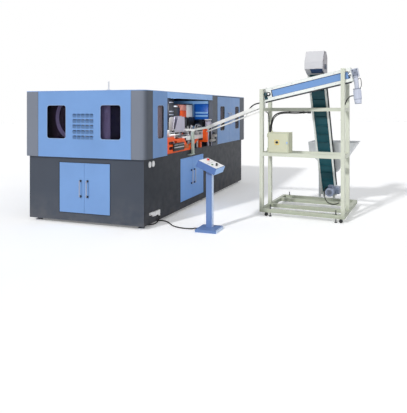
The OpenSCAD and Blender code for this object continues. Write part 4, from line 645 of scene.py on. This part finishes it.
# A thin dark line round each pair of base doors, kept inside the frame
gaskets = Shape()
gaskets.ring(-1391, 171, 922, 777, 2, 5, 1, base_mm - 1, base_mm + 2, 1)
gaskets.ring(1088, 163, 994, 752, 2, 5, 0, side_mm - 2, side_mm + 1, 1)
gaskets.done("door_edges", BLACK)


# Machinery that shows in the open bay
bay = Shape()
bay.block((-330, 1194, 1540), (-180, 1400, 1955), 8).block((-330, 1400, 1628), (-200, 1670, 1800), 8)
bay.block((-300, 1250, 1290), (-240, 1320, 1540), 4).block((-300, 1520, 1290), (-240, 1600, 1628), 4)
bay.turned([(0, 60), (60, 60), (64, 52), (90, 48)], (-250, 1300, 1955))
bay.block((-330, 1980, 1430), (-230, 2400, 1606), 8)
bay.rod((-250, 2010, 1410), (-250, 2010, 1610), 34, bevel=3)
bay.rod((-250, 2130, 1410), (-250, 2130, 1600), 26, bevel=3)
bay.done("bay_machinery", DARK)
vents = Shape()
for z in (1600, 1660, 1720, 1880):
    vents.block((-180, 1224, z), (-172, 1370, z + 14), 2)
vents.done("bay_vents", CAST)
dome = Shape().turned([(0, 96), (18, 92), (30, 70), (37, 36), (39, 4)], (-250, 1483, 1806), sides=32)
dome.done("bay_dome", WHITE)
tower = Shape().block((-330, 1699, 1612), (-200, 1955, 1738), 8)
tower.block((-300, 1790, 1290), (-230, 1870, 1612), 4).done("bay_heater_box", ORANGE)
Shape().block((-330, 1699, 1740), (-200, 1955, 1850), 10).done("bay_heater_lid", PINK)
white_box = Shape().block((-330, 1961, 1612), (-200, 2228, 1850), 10)
white_box.block((-300, 2060, 1290), (-230, 2130, 1612), 4).done("bay_white_box", WHITE)
DRUM_X, DRUM_Y, DRUM_Z, DRUM_H = 85, 2340, 1400, 124
drum = Shape().turned([(0, 50), (4, 56), (120, 56), (DRUM_H, 50)], (DRUM_X, DRUM_Y, DRUM_Z), sides=32)
for k in range(6):
    a = math.radians(60 * k)
    x, y = DRUM_X + 46 * math.cos(a), DRUM_Y + 46 * math.sin(a)
    drum.rod((x, y, 1524), (x, y, 1548), 6)
drum.rod((DRUM_X, DRUM_Y, deck_mm), (DRUM_X, DRUM_Y, DRUM_Z), 22).done("bay_drum", LILAC)
disc = Shape().turned([(0, 68), (3, 73), (15, 73), (18, 68)], (DRUM_X, DRUM_Y, 1548), sides=40)
disc.done("bay_disc", WHITE)
Shape().rod((104, 2402, deck_mm), (104, 2402, 1536), 17, bevel=2).done("bay_black_post", BLACK)
Shape().rod((118, 2430, deck_mm), (118, 2430, 1512), 10, bevel=2).done("bay_pale_post", LILAC)

# The blue guard and beams at the bay's far end; the beams and the guard's slots take a lighter copy of the
# pale blue, painted light in the shaded bay
Shape().block((-250, 2424, 1560), (55, 2428, 1868), 1).done("bay_guard_panel", DEEP_BLUE)
stripes = Shape()
for z in (1675, 1612):
    stripes.block((-224, 2419, z), (48, 2424, z + 34), 2)
stripes.done("bay_guard_slots", BAY_LIT_BLUE)
beams = Shape().block((-850, 2420, 1874), (56, 2436, 1933)).block((-292, 2420, 1052), (-252, 2436, 1874))
beams.done("bay_inner_frame", BAY_LIT_BLUE)


# Rails, grippers and small cylinders along the orange frame
rails = Shape()
for x, z in ((-20, 1290), (-60, 1330), (0, 1370)):
    rails.rod((x, 700, z), (x, 1460, z), 8, sides=16)
for y in range(760, 1440, 85):
    rails.block((-74, y, 1276), (6, y + 22, 1300), 2)
    rails.rod((-34, y + 11, 1300), (-34, y + 11, 1352), 7, sides=12)
rails.done("infeed_rails", STEEL)
grippers = Shape()
for y in (820, 990, 1160, 1330):
    grippers.block((-60, y, 1336), (-6, y + 60, 1378), 4)
grippers.rod((44, 1100, 1300), (44, 1420, 1300), 12, sides=16).done("infeed_grippers", DARK)
guides = Shape()
for y in (1500, 1620, 1740, 1860):
    guides.block((10, y, 1284), (56, y + 70, 1310))
    guides.rod((34, y + 35, 1310), (34, y + 35, 1350), 12, sides=16, bevel=2)
guides.done("table_guides", STEEL)


# The sheets that stand over the infeed, the wheel and bent guides by the star, and the table's edge
SAND_SHEET = [(896, 1408), (906, 1560), (918, 1606), (962, 1635), (1110, 1632), (1074, 1399)]
LILAC_SHEET = [(1091, 1368), (1246, 1634), (1495, 1629), (1511, 1346)]
sand = Shape().plate(SAND_SHEET, 0, -21, -18).block((-27, 960, 1040), (-21, 1000, 1440), 1)
sand.done("bay_sand_guard", SAND, smooth=False)
lilac = Shape().plate(LILAC_SHEET, 0, -21, -18).block((-27, 1290, 1284), (-21, 1330, 1400), 1)
lilac.done("bay_lilac_guard", LILAC, smooth=False)
RIM = [(0, 26), (4, 32), (20, 32), (24, 26), (24, 14), (40, 12)]
wheel = Shape().turned(RIM, (-10, 1736, 1438), (1, 0, 0), 28)
wheel.block((-26, 1722, 1284), (-10, 1750, 1420), 2).done("bay_wheel", STEEL)
for i, (x, lift) in enumerate(((-30, 0), (10, -16))):
    bend = [(x, 1962, 1284), (x, 1968, 1400 + lift), (x, 2010, 1462 + lift), (x, 2120, 1470 + lift),
            (x, 2200, 1430 + lift), (x, 2214, 1284)]
    path = [p / 1000 for p in spline(bend, 5)]
    tube("bay_bent_guide_%d" % (i + 1), path, 0.007, STEEL, "machine", 12)
Shape().block((86, 1330, 1214), (98, 2050, 1286)).done("table_edge", WHITE)
shelf = Shape().block((36, 1824, 1330), (92, 2150, 1342))
for y in (1900, 2060):
    shelf.block((50, y, 1286), (80, y + 20, 1331), 2)
shelf.done("bay_white_shelf", WHITE)
end = Shape().block((20, 716, 1336), (64, 772, 1420), 8).rod((30, 700, 1290), (30, 700, 1400), 10)
end.done("bay_white_end", WHITE)

# Valve block on the orange frame: black body, bright strip and amber cover
Shape().block((100, 806, 1066), (120, 1205, 1200), 8).done("valve_block", BLACK)
strip = Shape().block((119, 820, 1118), (126, 1190, 1134), 2)
for y in range(840, 1180, 48):
    strip.turned([(0, 9), (10, 9), (12, 6)], (119, y, 1168), (1, 0, 0), 12)
strip.done("valve_strip", STEEL)
Shape().block((100, 1236, 1080), (112, 1400, 1146), 5).done("valve_cover", AMBER)

# Small geared motor under the chute's low end, on the pillar
bracket = Shape().block((139, 2452, 1100), (206, 2466, 1310)).block((139, 2446, 1100), (150, 2500, 1310))
bracket.done("gear_bracket", DARK)
gear = Shape().rod((176, 2262, 1150), (176, 2454, 1150), 29, bevel=4)
gear.rod((176, 2240, 1150), (176, 2262, 1150), 22, bevel=3)
gear.rod((178, 2380, 1234), (178, 2520, 1234), 33, bevel=4).block((150, 2330, 1176), (200, 2400, 1210), 4)
gear.done("gear_motor", SAND)


# Dark joint across the console's panel
Shape(HEAD).block((140, 12, -0.6), (144, 340, 0.4), 0).done("panel_joint", DARK, smooth=False)


# Hood over the elevator's head: its mouth is in the slanted face, with a blue flap inside
HOOD_X, HOOD_T = (715, 1013), 3
HOOD_SIDE = [(50, 2416), (219, 2330), (400, 2330), (400, 2628), (320, 2708), (160, 2708), (50, 2526)]
HOOD_STRIPS = (
    ((50, 2526), (160, 2708), (163, 2706), (53, 2524)),
    ((160, 2708), (320, 2708), (319, 2705), (161, 2705)),
    ((320, 2708), (400, 2628), (397, 2628), (319, 2704)),
    ((400, 2628), (400, 2330), (397, 2330), (397, 2628)),
    ((50, 2416), (50, 2526), (53, 2526), (53, 2416)),
)
MOUTH_X, MOUTH_SHARES, INWARD = (800, 1000), (0.08, 0.78), Vector((0.4536, 0.8912))
slant = [Vector(q) for q in HOOD_SIDE[:2]]
high, low = (slant[0].lerp(slant[1], share) for share in MOUTH_SHARES)


def slab(a, b, depth=HOOD_T):
    """The section of a sheet along the slanted face from a to b."""
    return [tuple(a), tuple(b), tuple(b + INWARD * depth), tuple(a + INWARD * depth)]


hood = Shape(LOADER)
for x in (HOOD_X[0], HOOD_X[1] - HOOD_T):
    hood.plate(HOOD_SIDE, 0, x, x + HOOD_T)
INNER_X = HOOD_X[0] + HOOD_T, HOOD_X[1] - HOOD_T
for strip in HOOD_STRIPS:
    hood.plate(strip, 0, *INNER_X)
hood.plate(slab(slant[0], high), 0, *INNER_X).plate(slab(low, slant[1]), 0, *INNER_X)
hood.plate(slab(high, low), 0, INNER_X[0], MOUTH_X[0]).plate(slab(high, low), 0, MOUTH_X[1], INNER_X[1])
hood = hood.done("hood_sheet", HOOD, smooth=False)
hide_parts("elevator_hood")
flap = Shape(LOADER).plate(slab(high + INWARD * 20, low + INWARD * 8), 0, MOUTH_X[0] - 6, MOUTH_X[1] + 6)
flap.done("hood_flap", FLAP, smooth=False)
bearing = Shape(LOADER).block((1013, 192, 2412), (1021, 278, 2498))
bearing.turned([(0, 30), (8, 30), (12, 22), (18, 20)], (1021, 235, 2455), (1, 0, 0))
bearing.done("head_bearing", MOTOR_GREY)
bolts = Shape(LOADER)
for y, z in ((204, 2424), (266, 2424), (204, 2486), (266, 2486)):
    bolts.hex((1021, y, z), (1, 0, 0), 12, 7)
for y, z in ((90, 2440), (90, 2540), (200, 2680), (370, 2600), (370, 2360)):
    bolts.hex((1013, y, z), (1, 0, 0), 10, 5)
bolts.done("hood_bolts", DARK)


# Dark strip along the outer side of the elevator's right channel
Shape(ELEVATOR).block((145, -44, 120), (164, -20, 2240), 2).done("elevator_dark_strip", DARK)


# Control box: switch plate, lock, fold round the door and glands
BOX_DOOR = "control_box_door"
Shape(BOX).ring(131, 143.7, 60, 60, 6, 9, 1, -24.0, -22.2, 3).done("switch_plate", YELLOW, BOX_DOOR)
lock = Shape(BOX).turned([(0, 11), (7, 11), (9, 8)], (332, -20.4, 173.7), (0, -1, 0))
lock.block((326, -31, 148), (338, -21, 168)).done("box_lock", PALE_BLUE, BOX_DOOR)
Shape(BOX).ring(14, 14, 330, 306, 8, 3, 1, -21.4, -20.2, 3).done("box_door_fold", LEG, BOX_DOOR)
glands = Shape(BOX).turned([(0, 20), (10, 20), (12, 16), (30, 14)], (27, 30, 334), sides=6)
glands.turned([(0, 15), (8, 15), (10, 12), (26, 10)], (45, 34, 334), sides=6).done("box_gland", BLACK)

# Trough: the mechanism at its low end, its bolts and the dark lines round its side panel
low_end = Shape(TROUGH).block((36, -9, 30), (86, 0, 150), 4).block((44, -14, 60), (74, -9, 120))
low_end.done("unscrambler_bracket", TEAL)
Shape(TROUGH).block((86, -3, 54), (163, 0, 166), 1).done("unscrambler_plate", LIT_RAIL_CREAM)
hub = Shape(TROUGH).turned([(0, 17), (13, 17), (16, 12)], (114, -3, 112), (0, -1, 0))
hub.done("unscrambler_hub", WHITE)
knobs = Shape(TROUGH).turned([(0, 36), (8, 36), (10, 30)], (114, -3, 112), (0, -1, 0), 28)
knobs.turned([(0, 15), (12, 15), (15, 10)], (66, -14, 84), (0, -1, 0))
knobs.turned([(0, 9), (14, 9), (16, 7)], (66, 0, 193), (0, -1, 0), 16)
knobs.block((-16, -8, 40), (10, 150, 56)).done("unscrambler_knobs", BLACK)
bolts = Shape(TROUGH)
for x in (195, 540, 890, 1235):
    bolts.hex((x, 0, 25), (0, -1, 0), 13, 7).hex((x, 0, 193), (0, -1, 0), 13, 7)
bolts.done("trough_bolts", ZINC)
edges = Shape(TROUGH).block((164, 2.2, 46), (176, 6, 172), 1).block((1446, 4.2, 46), (1449, 6, 172), 1)
edges.done("trough_panel_edges", BLACK)
lines = Shape(TROUGH).block((168, 2.5, 158), (1446, 6, 168), 1).block((168, 2.5, 50), (1446, 6, 54), 1)
lines.done("trough_panel_lines", EDGE)
# Dark strip under the trough's lower rail: painted shadow below the rail.
Shape(TROUGH).block((30, 2, -24), (1480, 8, 0.5), 1).done("trough_rail_shadow_strip", DARK)

# Clips that hold the box cable under the upper rail, and the entries of the motor leads
clips = Shape(LOADER)
for x in (360, 610):
    clips.block((x, 362, 1690), (x + 14, 392, 1731), 2)
clips.block((684, 358, 1694), (740, 398, 1730), 4).done("cable_clips", BLACK)
glands = Shape().turned([(0, 12), (10, 12), (14, 8)], (2664, 2123, 112), (-0.08, -1, 0), 6)
glands.turned([(0, 11), (8, 11), (12, 8)], (2856, 1202, 1844), (1, 0.1, 0.3), 6)
glands.done("lead_glands", BLACK)

# Trough motor: flange, fan cover joint and rim; cover and bolts on its bevel gear
rings = Shape(REDUCER).turned([(0, 60), (10, 60), (12, 56)], (0, 0, 184), sides=32)
rings.turned([(0, 57.5), (8, 57.5)], (0, 0, 346), sides=32)
rings.turned([(0, 50), (5, 53), (9, 53), (10, 48)], (0, 0, 412), sides=32)
rings.done("trough_motor_rings", MOTOR_GREY)
Shape(BEVEL_GEAR).block((8, -49, 10), (92, -44, 120), 2).done("bevel_gear_cover", MOTOR_GREY)
bolts = Shape(BEVEL_GEAR)
for x, z in ((18, 20), (82, 20), (18, 110), (82, 110), (50, 65)):
    bolts.hex((x, -49, z), (0, -1, 0), 13, 6)
bolts.done("bevel_gear_bolts", DARK)

# Elevator motor: fan cover, terminal box lid, flange bolts and grille, and the bolts of the chain case
MOTOR_X = 86
fan = Shape(TAIL)
fan.turned([(0, 66), (6, 74), (20, 77), (36, 77), (36, 30), (34, 10)], (MOTOR_X, -398, 0), (0, 1, 0), 36)
fan.block((50, -312, 104), (122, -222, 112))
for k in range(4):
    a = math.radians(45 + 90 * k)
    fan.hex((MOTOR_X + 66 * math.cos(a), -212, 66 * math.sin(a)), (0, -1, 0), 12, 8)
fan.done("elevator_motor_cover", CAST)
grille = Shape(TAIL)
for r in (52, 35, 18):
    grille.turned([(0, r), (2, r), (2, r - 6), (0, r - 6)], (MOTOR_X, -398.6, 0), (0, -1, 0), 28)
grille.done("elevator_motor_grille", MOTOR_GREY)
chain_case = Shape(TAIL)
for y, z in ((0, 44), (0, -44), (-162, 44), (-162, -44), (-80, 52), (-80, -52)):
    chain_case.hex((219, y, z), (1, 0, 0), 12, 6)
chain_case.done("chain_case_bolts", ZINC)


# Floor: white, with a faint glow for the camera alone
FLOOR, FLOOR_GLOW = [(-40, -40, 0), (40, -40, 0), (40, 60, 0), (-40, 60, 0)], 0.20
floor_mesh = bpy.data.meshes.new("floor")
floor_mesh.from_pydata(FLOOR, [], [(0, 1, 2, 3)])
floor = bpy.data.objects.new("floor", floor_mesh)
scene.collection.objects.link(floor)
t = Tree("floor")
path = t.new("LightPath")
glow = t.math("MULTIPLY", path.outputs["Is Camera Ray"], FLOOR_GLOW)
floor_colour = t.mix(t.ramp(t.noise(0.6, 2), 0.3, 0.7), (0.93, 0.93, 0.94, 1), (0.96, 0.96, 0.96, 1))
floor_mesh.materials.append(t.set(
    Base_Color=floor_colour, Roughness=0.9, Specular_IOR_Level=0.0,
    Emission_Color=(1, 1, 1, 1), Emission_Strength=glow))


# World: a plain sky for light, and white where the camera or a mirror looks at it
SKY, SKY_STRENGTH = (0.97, 0.985, 1.0, 1), 0.43
world = bpy.data.worlds.new("world")
scene.world = world
world.use_nodes = True
tree = world.node_tree
tree.nodes.clear()


def background(colour, strength):
    node = tree.nodes.new("ShaderNodeBackground")
    node.inputs["Color"].default_value = colour
    node.inputs["Strength"].default_value = strength
    return node.outputs[0]


ray = tree.nodes.new("ShaderNodeLightPath")
seen = tree.nodes.new("ShaderNodeMath")
seen.operation = "MAXIMUM"
pick = tree.nodes.new("ShaderNodeMixShader")
tree.links.new(ray.outputs["Is Camera Ray"], seen.inputs[0])
tree.links.new(ray.outputs["Is Glossy Ray"], seen.inputs[1])
tree.links.new(seen.outputs[0], pick.inputs[0])
tree.links.new(background(SKY, SKY_STRENGTH), pick.inputs[1])
tree.links.new(background((1, 1, 1, 1), 1.0), pick.inputs[2])
tree.links.new(pick.outputs[0], tree.nodes.new("ShaderNodeOutputWorld").inputs["Surface"])


# Lamps
def lamp(name, kind, energy, direction, place=(0, 0, 0), **settings):
    """A lamp that shines along a direction."""
    data = bpy.data.lights.new(name, kind)
    data.energy = energy
    for key, value in settings.items():
        setattr(data, key, value)
    obj = bpy.data.objects.new(name, data)
    scene.collection.objects.link(obj)
    obj.rotation_euler = Vector(direction).to_track_quat("-Z", "Y").to_euler()
    obj.location = place
    return obj


lamp("sun", "SUN", 1.95, (0.28, 0.78, -0.56), angle=math.radians(4))
lamp("side_fill", "SUN", 0.65, (-0.8, 0.35, -0.48), angle=math.radians(70))
bay_lamp = lamp("bay_lamp", "AREA", 9, (-0.35, 1, -0.3), (0.0, 0.62, 1.84),
                shape="RECTANGLE", size=0.3, size_y=0.16)
bay_lamp.visible_camera = False
